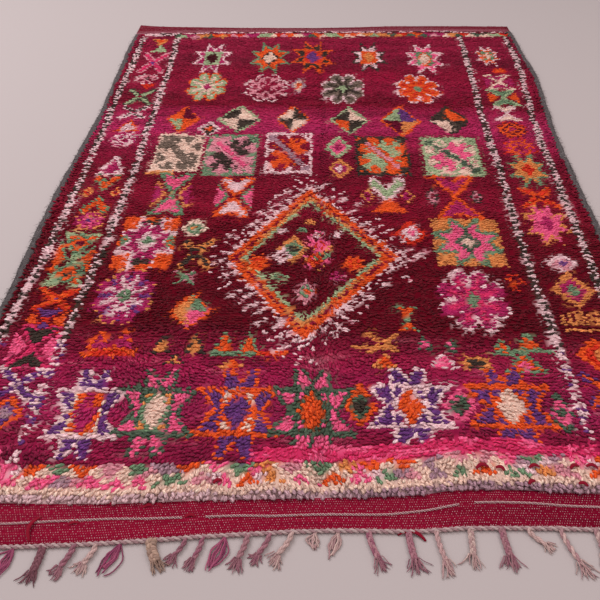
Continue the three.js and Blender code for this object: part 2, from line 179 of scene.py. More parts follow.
def linear(code: str) -> Array:
    """Turn a written colour into linear light.

    Args:
        code: the colour as a hash sign and six digits.

    Returns:
        Red, green and blue from 0 to 1, by the usual curve of screens.
    """
    part = np.array([int(code[k:k + 2], 16) for k in (1, 3, 5)]) / 255
    return np.where(part <= 0.04045, part / 12.92, ((part + 0.055) / 1.055) ** 2.4)


def ease(low: float, high: float, at: Array) -> Array:
    """Rise smoothly from 0 at low to 1 at high: the cubic 3t² - 2t³ of the share between them."""
    share = np.clip((np.asarray(at, float) - low) / (high - low), 0, 1)
    return share * share * (3 - 2 * share)


def mix(first: Array, second: Array, share: Array) -> Array:
    """Go in a straight line from the first value to the second as share goes from 0 to 1."""
    return first + (second - first) * share


def chance(i: Array, j: Array) -> Array:
    """A steady chance value from -1 to 1 for a pair of numbers: the broken part of a steep sine wave."""
    wave = np.sin(np.asarray(i) * 127.1 + np.asarray(j) * 311.7) * 43758.5453
    return (wave - np.floor(wave)) * 2 - 1


def dots(u: Array, v: Array, size: float) -> Array:
    """A steady chance value for each square cell of a size, from -1 to 1."""
    return chance(np.floor(u / size), np.floor(v / size))


def within(at: Array, span: tuple[float, float]) -> Array:
    """Whether each value lies between two ends."""
    return (at > span[0]) & (at < span[1])


def lumps(u: Array, v: Array, across: float, along: float | None = None, seed: int = 0) -> Array:
    """Smooth lumps: chance values at the corners of cells, eased over each cell.

    Args:
        u, v: places on the rug.
        across, along: a cell's size; it is square where along is left out.
        seed: shifts the pattern, so that two sets of lumps don't agree.

    Returns:
        Values from -1 to 1.
    """
    p, q = u / across + 17 * seed, v / (along or across) + 31 * seed
    i, j = np.floor(p), np.floor(q)
    a, b = ease(0, 1, p - i), ease(0, 1, q - j)
    low = mix(chance(i, j), chance(i + 1, j), a)
    high = mix(chance(i, j + 1), chance(i + 1, j + 1), a)
    return mix(low, high, b)


def ripple(at: Array, size: float, seed: int = 0) -> Array:
    """Smooth lumps that are strung along one line: those of lumps, read along the edge of its cells."""
    return lumps(at, at * 0, size, 1.0, seed)


def box_corners(left: Array, right: Array, low: Array, high: Array) -> Array:
    """Lay out upright boxes on the flat map.

    Args:
        left, right: where each box starts and ends across the map.
        low, high: where it starts and ends up the map.

    Returns:
        The four corners of each box: up its left side, then down its right side.
    """
    corners = ((left, low), (left, high), (right, high), (right, low))
    return np.stack([np.stack(np.broadcast_arrays(x, y), 1) for x, y in corners], 1)


def placed(name: str, data: bpy.types.ID) -> bpy.types.Object:
    """Make an object and put it into the scene.

    Args:
        name: its name.
        data: its mesh, light or camera.

    Returns:
        The object.
    """
    made = bpy.data.objects.new(name, data)
    bpy.context.scene.collection.objects.link(made)
    return made


def follow(table: dict[str, Array], key: str, column: str, at: Array) -> Array:
    """Read a smooth curve through one column of a table.

    Between two rows it is the cubic that meets both, sloped at each row like the line between the rows on
    either side of it.

    Args:
        table: named columns.
        key: the column that places are looked up in.
        column: the column that is read.
        at: the places.

    Returns:
        The curve's values at those places.
    """
    keys, values = table[key], table[column]
    last = len(keys) - 1
    before, after = np.maximum(np.arange(last + 1) - 1, 0), np.minimum(np.arange(last + 1) + 1, last)
    slopes = (values[after] - values[before]) / (keys[after] - keys[before])
    row = np.clip(np.searchsorted(keys, at) - 1, 0, last - 1)
    run = keys[row + 1] - keys[row]
    t = np.clip((at - keys[row]) / run, 0, 1)
    return (
        (2 * t**3 - 3 * t**2 + 1) * values[row] + (t**3 - 2 * t**2 + t) * slopes[row] * run
        + (3 * t**2 - 2 * t**3) * values[row + 1] + (t**3 - t**2) * slopes[row + 1] * run
    )


@dataclass(frozen=True)
class Outline:
    """The rug's edges and the height of its pile, in metres from the middle of the weave."""

    pile_height: float = 0.018
    band_height: float = 0.0036
    selvedge_width: float = 0.024
    selvedge_height: float = 0.011
    cord_width: float = 0.011
    gap: float = 0.0003
    lump_size: float = 0.085
    lump_height: float = 0.0032
    crease_half_width: float = 0.017
    crease_depth: float = 0.0055
    crease_wander: float = 0.003
    crease_period: float = 0.310

    def near(self, u: Array) -> Array:
        """The near woven edge."""
        return follow(ENDS, "u", "near", u)

    def near_pile(self, u: Array) -> Array:
        """The near end of the pile."""
        return follow(ENDS, "u", "near_pile", u)

    def far_pile(self, u: Array) -> Array:
        """The far end of the pile."""
        return follow(ENDS, "u", "far_pile", u)

    def far(self, u: Array) -> Array:
        """The far woven edge."""
        return follow(ENDS, "u", "far", u)

    def side(self, v: Array, hand: int) -> Array:
        """The long edge over its selvedge, on the left for hand -1 and on the right for 1."""
        return hand * follow(SIDES, "v", "left" if hand < 0 else "right", v)

    def body_side(self, v: Array, hand: int) -> Array:
        """The weave's long edge, where the selvedge starts."""
        return self.side(v, hand) - hand * (self.selvedge_width + self.gap)

    def crease(self, v: Array) -> Array:
        """The valley along the middle, left by folding the rug lengthwise: a slow sine wave."""
        return self.crease_wander * np.sin(v / self.crease_period)

    def height(self, u: Array, v: Array) -> Array:
        """The top of the pile: its usual height with lumps, less a bell-shaped valley along the crease.

        Args:
            u, v: places on the rug.

        Returns:
            The height there.
        """
        off = (u - self.crease(v)) / self.crease_half_width
        valley = self.crease_depth * np.exp(-off * off)
        return self.pile_height + self.lump_height * lumps(u, v, self.lump_size) - valley

    def shift(self) -> Array:
        """From the weave's middle to the frame's origin, found at the fringe's and the body's corners."""
        end = -SIDES["left"][0]
        return np.array([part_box("fringe_near")[0].x - end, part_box("rug_body")[0].y - self.near(end), 0.0])


def layered(*depths: Array) -> Array:
    """Number the layers of a figure.

    Args:
        depths: for each layer, a value that is above 0 inside it; a later layer lies over an earlier one.

    Returns:
        The number of the topmost layer at each place, counted from 1, or 0 outside them all.
    """
    layer = np.zeros(np.shape(depths[0]), int)
    for number, depth in enumerate(depths, 1):
        layer[depth > 0] = number
    return layer


def in_square(p: Array, q: Array) -> Array:
    """How deep a place is in a square that fills the figure."""
    return 1 - np.maximum(abs(p), abs(q))


def in_lozenge(p: Array, q: Array) -> Array:
    """How deep a place is in a lozenge that fills the figure."""
    return 1 - abs(p) - abs(q)


def star_depth(p: Array, q: Array, slant: float = 1.0) -> Array:
    """How deep a place is in an eight-pointed star.

    Args:
        p, q: places, from -1 to 1 over the star.
        slant: how steep the notch between two upright points is, against one between two lying ones.

    Returns:
        A value above 0 inside the star, which has two points to a side, each with one straight edge.
    """
    low, high = np.minimum(abs(p), abs(q)), np.maximum(abs(p), abs(q))
    steep = np.where(abs(q) > abs(p), slant, 1.0)
    return np.minimum(0.43 - low, 0.72 * (0.60 + steep * low - high))


def star(p: Array, q: Array, slant: float = 1.0) -> Array:
    """Outline, points, a square's frame, its inside, and a centre diamond with a ring around it.

    Args:
        p, q: places, from -1 to 1 over the figure.
        slant: how steep the notch between two upright points is.

    Returns:
        The layer at each place.
    """
    depth = star_depth(p, q, slant)
    square = 0.43 - np.maximum(abs(p), abs(q))
    centre = 0.33 - abs(p) - 0.85 * abs(q)
    return layered(depth, depth - 0.085, square, square - 0.10, centre + 0.09, centre)


def barred_star(p: Array, q: Array) -> Array:
    """The star's layers with blunt upright points, and bars across it in its outline's colour.

    Args:
        p, q: places, from -1 to 1 over the figure.

    Returns:
        The layer at each place.
    """
    rest = np.maximum(abs(q) - 0.47, 0)
    tall = np.where(rest > 0, 0.43 + 1.25 * rest, abs(q) * 0.43 / 0.47)
    layer = star(p, tall, 1.6)
    layer[tall > 0.92] = 0
    layer[(abs(tall - 0.40) < 0.045) & (abs(p) < 1)] = 1
    return layer


def bloom_depth(p: Array, q: Array) -> Array:
    """How deep a place is in a bloom of eight petals, by the root of a sine of four times the angle."""
    return 0.64 + 0.33 * np.sqrt(abs(np.sin(4 * np.arctan2(q, p)))) - np.hypot(p, q)


def petals(p: Array, q: Array) -> Array:
    """Outline, petals, the veins along them, the thin lines between them and a centre diamond.

    Args:
        p, q: places, from -1 to 1 over the figure.

    Returns:
        The layer at each place.
    """
    depth = bloom_depth(p, q)
    run = np.hypot(p, q)
    angle = np.arctan2(q, p) % (TAU / 8) - TAU / 16
    vein = np.minimum(0.07 - abs(run * np.sin(angle)), 0.72 - run)
    between = np.minimum(0.050 - run * (TAU / 16 - abs(angle)), run - 0.46)
    between = np.minimum(between, depth)
    return layered(depth, depth - 0.075, vein, between, 0.21 - abs(p) - abs(q) * 0.8)


def lattice(p: Array, q: Array) -> Array:
    """Outline, crossing lines, the gaps between them and a centre diamond.

    Args:
        p, q: places, from -1 to 1 over the figure.

    Returns:
        The layer at each place.
    """
    depth = bloom_depth(p, q)
    rising, falling = ((p + s * q) * 1.9 % 1 - 0.5 for s in (1, -1))
    line = 0.17 - np.minimum(abs(rising), abs(falling))
    gap = np.minimum(depth - 0.08, -line)
    centre = 0.24 - abs(p) - abs(q) * 0.8
    return layered(depth, np.minimum(depth - 0.08, line), gap, centre)


def cross(p: Array, q: Array) -> Array:
    """Outline, arms and a centre diamond.

    Args:
        p, q: places, from -1 to 1 over the figure.

    Returns:
        The layer at each place.
    """
    reach = np.maximum(abs(p), abs(q))
    arm = 0.30 - abs(abs(p) - abs(q)) - 0.25 * ease(0.86, 1.0, reach)
    fork = 0.13 - abs(abs(abs(p) - abs(q)) - 0.16) - ease(0.6, 0.9, 1.4 - reach)
    depth = np.minimum(np.maximum(arm, fork), 1 - reach)
    return layered(depth, depth - 0.13, 0.2 - abs(p) - abs(q))


def quarters(p: Array, q: Array) -> Array:
    """The four quarters from the upper left by rows, and the outline.

    Args:
        p, q: places, from -1 to 1 over the figure.

    Returns:
        The layer at each place.
    """
    depth = in_lozenge(p, q)
    left, upper = -p, q
    return layered(
        depth * (np.minimum(left, upper) > 0), depth * (np.minimum(-left, upper) > 0),
        depth * (np.minimum(left, -upper) > 0), depth * (np.minimum(-left, -upper) > 0),
        np.minimum(depth, 0.13 - depth),
    )


def split(p: Array, q: Array) -> Array:
    """Frame, ground, teeth, outline of the two lobed forms, forms, the slanting line and two corner blocks.

    Each form lies to one side of the line, and its outer edges are a cosine wave of prongs and notches.

    Args:
        p, q: places, from -1 to 1 over the figure.

    Returns:
        The layer at each place.
    """
    edge = in_square(p, q)
    run = np.where(abs(p) > abs(q), q, p)
    teeth = np.minimum(0.36 - edge, 0.12 - abs((run + 1) * 1.5 % 1 - 0.5) / 1.5)
    hand = np.sign(p + q)
    low, high = np.minimum(p * hand, q * hand), np.maximum(p * hand, q * hand)
    rim = 0.61 + 0.16 * np.cos(TAU * (low - 0.08) / 0.46)
    form = np.minimum.reduce([low + high - 0.26, rim - high, low + 0.32])
    corner = 0.13 - np.maximum(abs(abs(p) - 0.72), abs(abs(q) - 0.72)) - (p * q > 0)
    line = np.minimum(0.13 - abs(p + q), 1.20 - abs(p - q))
    return layered(edge, edge - 0.11, teeth, form + 0.07, form, line, corner)


def hourglass(p: Array, q: Array) -> Array:
    """The crossing lines, the upper and lower triangles, and the side ones' outline and inside.

    Args:
        p, q: places, from -1 to 1 over the figure.

    Returns:
        The layer at each place.
    """
    slant = abs(q) - abs(p)
    inside = in_square(p, q)
    upright = np.minimum(slant, inside + 0.02)
    notch = abs(p) - 0.9 * (abs(q) - 0.72) / 0.28 * 0.5
    upright = np.where(abs(q) > 0.72, np.minimum(upright, notch), upright)
    side = np.minimum(-slant - 0.30, 0.80 - abs(q) - 0.2 * abs(p))
    line = np.minimum(0.15 - abs(slant - 0.06), inside + 0.02)
    layer = layered(line, upright - 0.13, side, side - 0.15)
    layer[(layer == 0) & (upright > 0)] = 1
    return layer


def heart(p: Array, q: Array) -> Array:
    """Outline and inside of a heart with its tip down: a wedge under two round lobes.

    Args:
        p, q: places, from -1 to 1 over the figure.

    Returns:
        The layer at each place.
    """
    lobe = 0.50 - np.hypot(abs(p) - 0.46, q - 0.48)
    wedge = np.where((q < 0.55) & (q > -1), (q + 1) * 0.62 - abs(p), -1)
    wedge = np.minimum(wedge, 0.96 - abs(p))
    depth = np.minimum(np.maximum(lobe, wedge), 0.10 + 1.3 * abs(p) - q)
    return layered(depth, depth - 0.17)


def star_square(p: Array, q: Array) -> Array:
    """Square, star outline, star, a ring in its middle and the centre diamond.

    Args:
        p, q: places, from -1 to 1 over the figure.

    Returns:
        The layer at each place.
    """
    depth = star_depth(p * 1.05, q * 1.05)
    centre = 0.40 - abs(p) - 0.8 * abs(q)
    return layered(in_square(p, q), depth + 0.06, depth - 0.05, centre, centre - 0.20)


def rings(p: Array, q: Array) -> Array:
    """Three diamonds, one in another."""
    depth = in_lozenge(p, q)
    return layered(depth, depth - 0.34, depth - 0.66)


def triangle(p: Array, q: Array) -> Array:
    """Outline and inside of a triangle with its tip up."""
    depth = np.minimum((1 - q) / 2 - abs(p), q + 1)
    return layered(depth, depth - 0.22)


def specks(p: Array, q: Array) -> Array:
    """Knots in two colours, scattered by chance over a diamond.

    Args:
        p, q: places, from -1 to 1 over the figure.

    Returns:
        The layer at each place.
    """
    picked = chance(np.floor(p * 6), np.floor(q * 7))
    inside = 1 - abs(p) - 0.7 * abs(q)
    return layered(np.minimum(picked - 0.1, inside), np.minimum(picked - 0.6, inside))


def block(p: Array, q: Array) -> Array:
    """Edge and inside of a square."""
    depth = in_square(p, q)
    return layered(depth, depth - 0.35)


def comb(p: Array, q: Array) -> Array:
    """A double bar, and teeth that stand on it.

    Args:
        p, q: places, from -1 to 1 over the figure.

    Returns:
        The layer at each place.
    """
    bar = 0.16 - abs(abs(q + 0.45) - 0.28)
    tooth = np.minimum(0.22 - abs(p * 3 % 1 - 0.5), np.minimum(q + 0.2, 0.9 - q))
    return layered(bar, tooth)


class Figure(Enum):
    """The kinds of figure that are knotted into the pile, each with the formula of its layers."""

    STAR = member(star)
    BARRED_STAR = member(barred_star)
    PETALS = member(petals)
    LATTICE = member(lattice)
    CROSS = member(cross)
    QUARTERS = member(quarters)
    SPLIT = member(split)
    HOURGLASS = member(hourglass)
    HEART = member(heart)
    FLIPPED_HEART = member(lambda p, q: heart(p, -q))
    STAR_SQUARE = member(star_square)
    RINGS = member(rings)
    TRIANGLE = member(triangle)
    FLIPPED_TRIANGLE = member(lambda p, q: triangle(p, -q))
    SPECKS = member(specks)
    BLOCK = member(block)
    COMB = member(comb)


@dataclass(frozen=True)
class Motif:
    """One figure of the pile: its kind, centre, half width, half length, and a yarn for each layer."""

    figure: Figure
    u: float
    v: float
    half_width: float
    half_length: float
    yarns: Sequence[str]

    @classmethod
    def read(cls, row: str) -> "Motif":
        """Read a figure from a row of words.

        Args:
            row: a row of FIGURE_ROWS, where a dot in place of a yarn leaves the ground to show.

        Returns:
            The figure.
        """
        kind, *words = row.split()
        return cls(Figure[kind.upper()], *(int(word) / 1000 for word in words[:4]), words[4:])

    def lay(self, tone: Array, u: Array, v: Array) -> None:
        """Colour the knots that the figure takes up.

        Args:
            tone: each knot's colour, which is changed in place.
            u, v: the knots' places.
        """
        p, q = (u - self.u) / self.half_width, (v - self.v) / self.half_length
        here = np.flatnonzero((abs(p) < 1) & (abs(q) < 1))
        layer = self.figure.value(p[here], q[here])
        for number, name in enumerate(self.yarns, 1):
            if name != ".":
                tone[here[layer == number]] = Yarn[name.upper()].light


# The figures in the order that they are laid, under headings that end in a colon. A row holds a figure's
# kind, the u and v of its centre, its half width and half length in millimetres, and its yarns.
FIGURE_ROWS = """
Far row of stars:
star -499 986 85 165 blush magenta sage sage sage wine
star -238 999 90 165 green orange orange orange soot cream
star -45 1016 95 175 orange soot orange coral coral purple
star 212 1016 82 160 soot blush orange orange orange amber
star 464 1006 85 160 blush pink green green orange cream
Blooms:
petals -488 696 92 145 orange sage cream orange magenta
lattice -233 692 97 145 blush rose . .
rings -99 721 36 75 lilac cream orange
petals 89 691 100 155 blush stone soot blush sage
petals 405 696 100 150 blush orange coral blush green
Quartered diamonds:
quarters -546 402 67 115 orange maroon sage orange orange
rings -435 329 45 65 blush soot orange
quarters -325 410 88 115 soot cream cream soot sage
quarters -113 414 68 115 cream soot soot cream orange
block -108 280 16 14 orange orange
quarters 109 412 77 115 soot cream orange soot sage
quarters 311 412 83 132 sage purple maroon amber orange
quarters 503 422 87 124 soot orange cream soot soot
Split squares:
split -527 148 87 135 cream stone cream stone cream stone stone
block -573 6 48 14 amber amber
split -331 139 95 147 green rose green rose soot pink rose
split -120 156 87 147 blush crimson blush crimson orange lilac lilac
rings 63 198 52 88 sage pink magenta
rings 68 51 46 72 amber magenta blush
split 225 145 97 142 soot orange soot orange sage rose soot
split 479 145 102 138 sage cream sage sage pink pine pine
Hourglasses and hearts:
hourglass -509 -129 62 132 green pink amber magenta
hourglass -293 -141 64 124 orange blush green pink
heart 228 -88 66 92 blush sage
triangle 232 -176 68 44 orange orange
rings 160 -123 26 44 amber magenta
rings 295 -124 24 44 amber magenta
hourglass 457 -123 76 134 orange magenta . .
rings 379 -124 24 55 soot rose
rings 528 -124 22 55 soot rose
Stars in squares, with small figures beside them:
star_square -543 -404 90 132 orange blush magenta blush green
rings -614 -399 18 32 green green
rings -472 -399 18 32 green green
block -543 -294 30 13 soot soot
block -543 -504 26 16 soot soot
rings -403 -328 44 58 cream green amber
cross -380 -459 52 72 amber soot
star_square 463 -378 107 122 amber green pink pine cream
rings 288 -338 50 78 coral blush pink
Blooms below them:
petals -561 -663 92 135 amber magenta blush purple green
cross -400 -573 34 34 rose green
quarters -363 -721 62 78 amber green amber pink orange
petals 439 -653 108 148 blush magenta cerise blush green
hourglass 242 -738 30 54 green orange . .
specks 575 -574 40 40 coral orange
Inside the great diamond:
rings -83 -428 50 70 amber green soot
rings -117 -466 30 42 blush blush
specks -10 -429 55 100 amber pink
rings 0 -404 30 44 pink coral
rings 3 -459 28 34 green green
rings -15 -474 26 44 orange coral
star -189 -504 36 48 orange orange coral coral orange orange
star 105 -495 38 46 orange orange coral coral orange orange
rings -119 -564 32 28 sage green
rings -40 -633 32 58 rose green orange
block -30 -284 16 12 amber amber
block -58 -329 14 12 green green
block -124 -335 14 12 blush blush
block 55 -354 12 18 blush blush
block -14 -353 12 14 blush rose
specks 56 -563 30 32 rose magenta
Small figures across the rug:
triangle -590 -842 34 44 orange magenta
triangle -522 -842 34 44 orange magenta
block -556 -896 74 14 orange coral
triangle -419 -852 30 40 soot amber
triangle -331 -848 30 40 soot amber
triangle -375 -909 30 20 soot amber
triangle -255 -838 32 46 green orange
triangle -187 -842 32 46 green orange
block -222 -887 70 8 green green
triangle -227 -916 36 20 amber orange
block -124 -884 40 10 orange coral
cross 173 -838 45 36 amber amber
block 148 -853 60 7 amber amber
triangle 173 -899 36 30 amber orange
triangle 282 -829 22 30 pine pink
triangle 351 -833 22 28 pine pink
triangle 326 -894 44 28 blush pink
block 414 -904 34 24 amber soot
triangle 488 -837 34 36 green orange
triangle 562 -814 38 36 green orange
block 543 -855 80 6 green green
triangle 538 -894 58 42 green orange
rings 538 -916 20 22 pink pink
Near row of barred stars:
barred_star -568 -1098 90 165 blush purple cream orange orange magenta
barred_star -400 -1087 97 160 pine pink pine amber green cream
barred_star -198 -1082 104 165 orange purple orange cream orange purple
barred_star -15 -1077 108 160 pine pink pine pink pine orange
rings 103 -1057 44 75 orange pine soot
barred_star 227 -1053 108 150 blush purple blush purple blush orange
rings 350 -1048 44 64 pink pine soot
barred_star 474 -1048 112 150 orange purple orange purple orange cream
rings 594 -1067 32 75 pine pink pine
Column of figures between the ropes on the left:
flipped_triangle -765 1161 42 36 amber orange
triangle -755 1093 40 42 sage sage
cross -758 931 60 112 rose cerise purple
lattice -755 766 56 55 blush rose . soot
flipped_triangle -743 691 34 25 coral coral
cross -755 592 60 78 soot sage
cross -755 459 54 55 blush soot
triangle -752 349 48 48 orange blush
lattice -750 241 58 70 rose blush magenta .
triangle -748 50 52 70 blush magenta
heart -750 -64 50 55 green orange
rings -798 -127 18 36 amber coral
rings -703 -127 18 36 amber coral
flipped_heart -750 -202 50 58 green orange
petals -752 -295 56 55 amber magenta pink amber purple
hourglass -752 -494 58 132 sage orange green orange
rings -752 -418 44 62 green orange maroon
rings -752 -566 46 58 green orange soot
cross -755 -683 60 52 coral orange purple
hourglass -758 -773 52 55 coral purple orange orange
hourglass -760 -878 62 85 cerise soot pink pink
cross -762 -1011 60 62 blush purple lilac
rings -765 -1107 52 62 orange purple lilac
rings -775 -1229 50 60 pink purple orange
Column of figures between the ropes on the right:
star 755 1046 55 110 blush orange green green orange cream
block 780 891 30 22 coral orange
hourglass 758 776 60 75 cream magenta magenta magenta
hourglass 752 625 60 75 sage green orange orange
hourglass 741 485 50 62 blush cream . .
lattice 736 349 62 72 coral orange maroon .
lattice 740 212 66 75 coral orange magenta .
star 739 57 70 108 green amber amber amber amber coral
cross 739 -115 60 66 orange coral
star 732 -271 72 130 amber pink pink pink pink magenta
rings 733 -481 52 48 blush rose purple
rings 735 -603 64 84 amber magenta green
comb 725 -738 56 46 amber amber
rings 735 -868 56 70 orange coral amber
cross 725 -990 58 60 purple orange pink
rings 725 -1118 54 62 pink purple orange
cross 725 -1239 50 40 lilac pink
"""
MOTIFS = tuple(Motif.read(row) for row in FIGURE_ROWS.split("\n") if row and not row.endswith(":"))

# The ground's dye by its place along the rug, as each new hank of wool came out a little different
GROUND = (
    (-1.370, "#881638"), (-1.209, "#8D1640"), (-1.150, "#951840"), (-1.100, "#9E2050"), (-1.026, "#941A48"),
    (-0.950, "#A41D4C"), (-0.884, "#98193F"), (-0.823, "#79102C"), (-0.773, "#66081B"), (-0.504, "#69081C"),
    (-0.305, "#780B22"), (-0.168, "#8C112F"), (-0.050, "#80102A"), (0.050, "#80112D"), (0.150, "#861334"),
    (0.220, "#A81E4A"), (0.285, "#AA214F"), (0.315, "#B4285C"), (0.400, "#B42859"), (0.497, "#9E1C44"),
    (0.535, "#830F2C"), (0.600, "#80102D"), (0.687, "#951539"), (0.826, "#961336"), (0.966, "#7B1430"),
    (1.050, "#901739"), (1.166, "#96193C"), (1.326, "#901838"),
)

# Each rope of light and dark knots along the rug: places along it and across it
ROPES = {
    "left_outer": (
        (-1.350, -0.881), (-0.803, -0.863), (-0.504, -0.843), (-0.010, -0.841), (0.478, -0.846),
        (1.206, -0.853),
    ),
    "left_inner": (
        (-1.350, -0.703), (-1.209, -0.701), (-0.803, -0.686), (-0.603, -0.681), (-0.305, -0.671),
        (-0.010, -0.666), (0.383, -0.671), (0.866, -0.676), (1.206, -0.689),
    ),
    "right_inner": (
        (-1.310, 0.646), (-1.158, 0.646), (-0.904, 0.641), (-0.603, 0.629), (-0.305, 0.629), (-0.109, 0.637),
        (0.478, 0.638), (0.716, 0.647), (1.266, 0.659),
    ),
    "right_outer": (
        (-1.310, 0.815), (-0.504, 0.815), (-0.305, 0.820), (-0.010, 0.830), (0.285, 0.830), (0.573, 0.849),
        (0.716, 0.860), (0.966, 0.878), (1.266, 0.876),
    ),
}


@dataclass(frozen=True)
class Diamond:
    """The great diamond: its four corners, the widths of its lines, and the bristles around it."""

    left: tuple[float, float] = (-0.282, -0.479)
    top: tuple[float, float] = (-0.040, -0.089)
    right: tuple[float, float] = (0.240, -0.459)
    bottom: tuple[float, float] = (-0.045, -0.833)
    lines: tuple[tuple[float, Yarn], ...] = (
        (0.0170, Yarn.ORANGE), (0.0080, Yarn.CRIMSON), (0.0130, Yarn.AMBER), (0.0100, Yarn.SAGE),
    )
    mottle: float = 0.020
    speck: float = 0.008
    fringe: float = 0.011
    bristle_pitch: float = 0.038
    bristle_reach: float = 0.074
    bristle_width: float = 0.0066
    bristle_slant: float = 0.12
    bristle_uneven: float = 0.28
    twig_pitch: float = 0.026
    twig_slant: float = 0.45

    def edges(self) -> tuple[tuple[tuple[float, float], tuple[float, float]], ...]:
        """The four sides, each from one corner to the next, clockwise from the left."""
        corners = (self.left, self.top, self.right, self.bottom)
        return tuple(zip(corners, corners[1:] + corners[:1]))

    def outward(self, u: Array, v: Array) -> tuple[Array, Array]:
        """Measure places against the diamond.

        Args:
            u, v: places on the rug.

        Returns:
            The distance outside its nearest side's line, below 0 inside, and the place along that side.
        """
        found = []
        for (u0, v0), (u1, v1) in self.edges():
            length = math.hypot(u1 - u0, v1 - v0)
            along = ((u - u0) * (u1 - u0) + (v - v0) * (v1 - v0)) / length
            out = ((v - v0) * (u1 - u0) - (u - u0) * (v1 - v0)) / length
            found.append((out, along))
        outs = np.array([out for out, _ in found])
        side = outs.argmax(0)
        alongs = np.array([along for _, along in found])
        pick = (side, np.arange(len(side)))
        return outs[pick], alongs[pick] + 0.7 * side

    def lay(self, tone: Array, u: Array, v: Array) -> None:
        """Colour the knots of its lines and bristles.

        A bristle is a stroke square to the diamond's side, its length and slant by chance. A cosine of the
        distance out widens it into pairs of twigs. Chance leaves some of its knots out.

        Args:
            tone: each knot's colour, which is changed in place.
            u, v: the knots' places.
        """
        out, along = self.outward(u, v)
        start = 0.0
        for width, yarn in self.lines:
            here = (-out >= start) & (-out < start + width)
            tone[here] = yarn.light
            if yarn is Yarn.AMBER:
                tone[here & (dots(u, v, self.mottle) > 0.2)] = Yarn.ORANGE.light * 0.85
            start += width
        number = np.floor(along / self.bristle_pitch)
        off = (along / self.bristle_pitch - number - 0.5) * self.bristle_pitch
        off = off + self.bristle_slant * out * chance(number, 5)
        reach = self.bristle_reach * (1 + self.bristle_uneven * chance(number, 3))
        twig = 0.5 - 0.5 * np.cos(TAU * (out - self.twig_slant * abs(off)) / self.twig_pitch)
        half = self.bristle_width * (0.50 + 1.6 * twig) * (1 - 0.35 * out / self.bristle_reach)
        drawn = (out > 0) & (out < reach) & (abs(off) < half)
        picked = dots(u, v, self.speck)
        tone[drawn & (picked > -0.32)] = Yarn.BLUSH.light
        tone[drawn & (picked > 0.80)] = Yarn.ROSE.light
        tone[within(out, (0, self.fringe)) & (picked > -0.35)] = Yarn.BLUSH.light


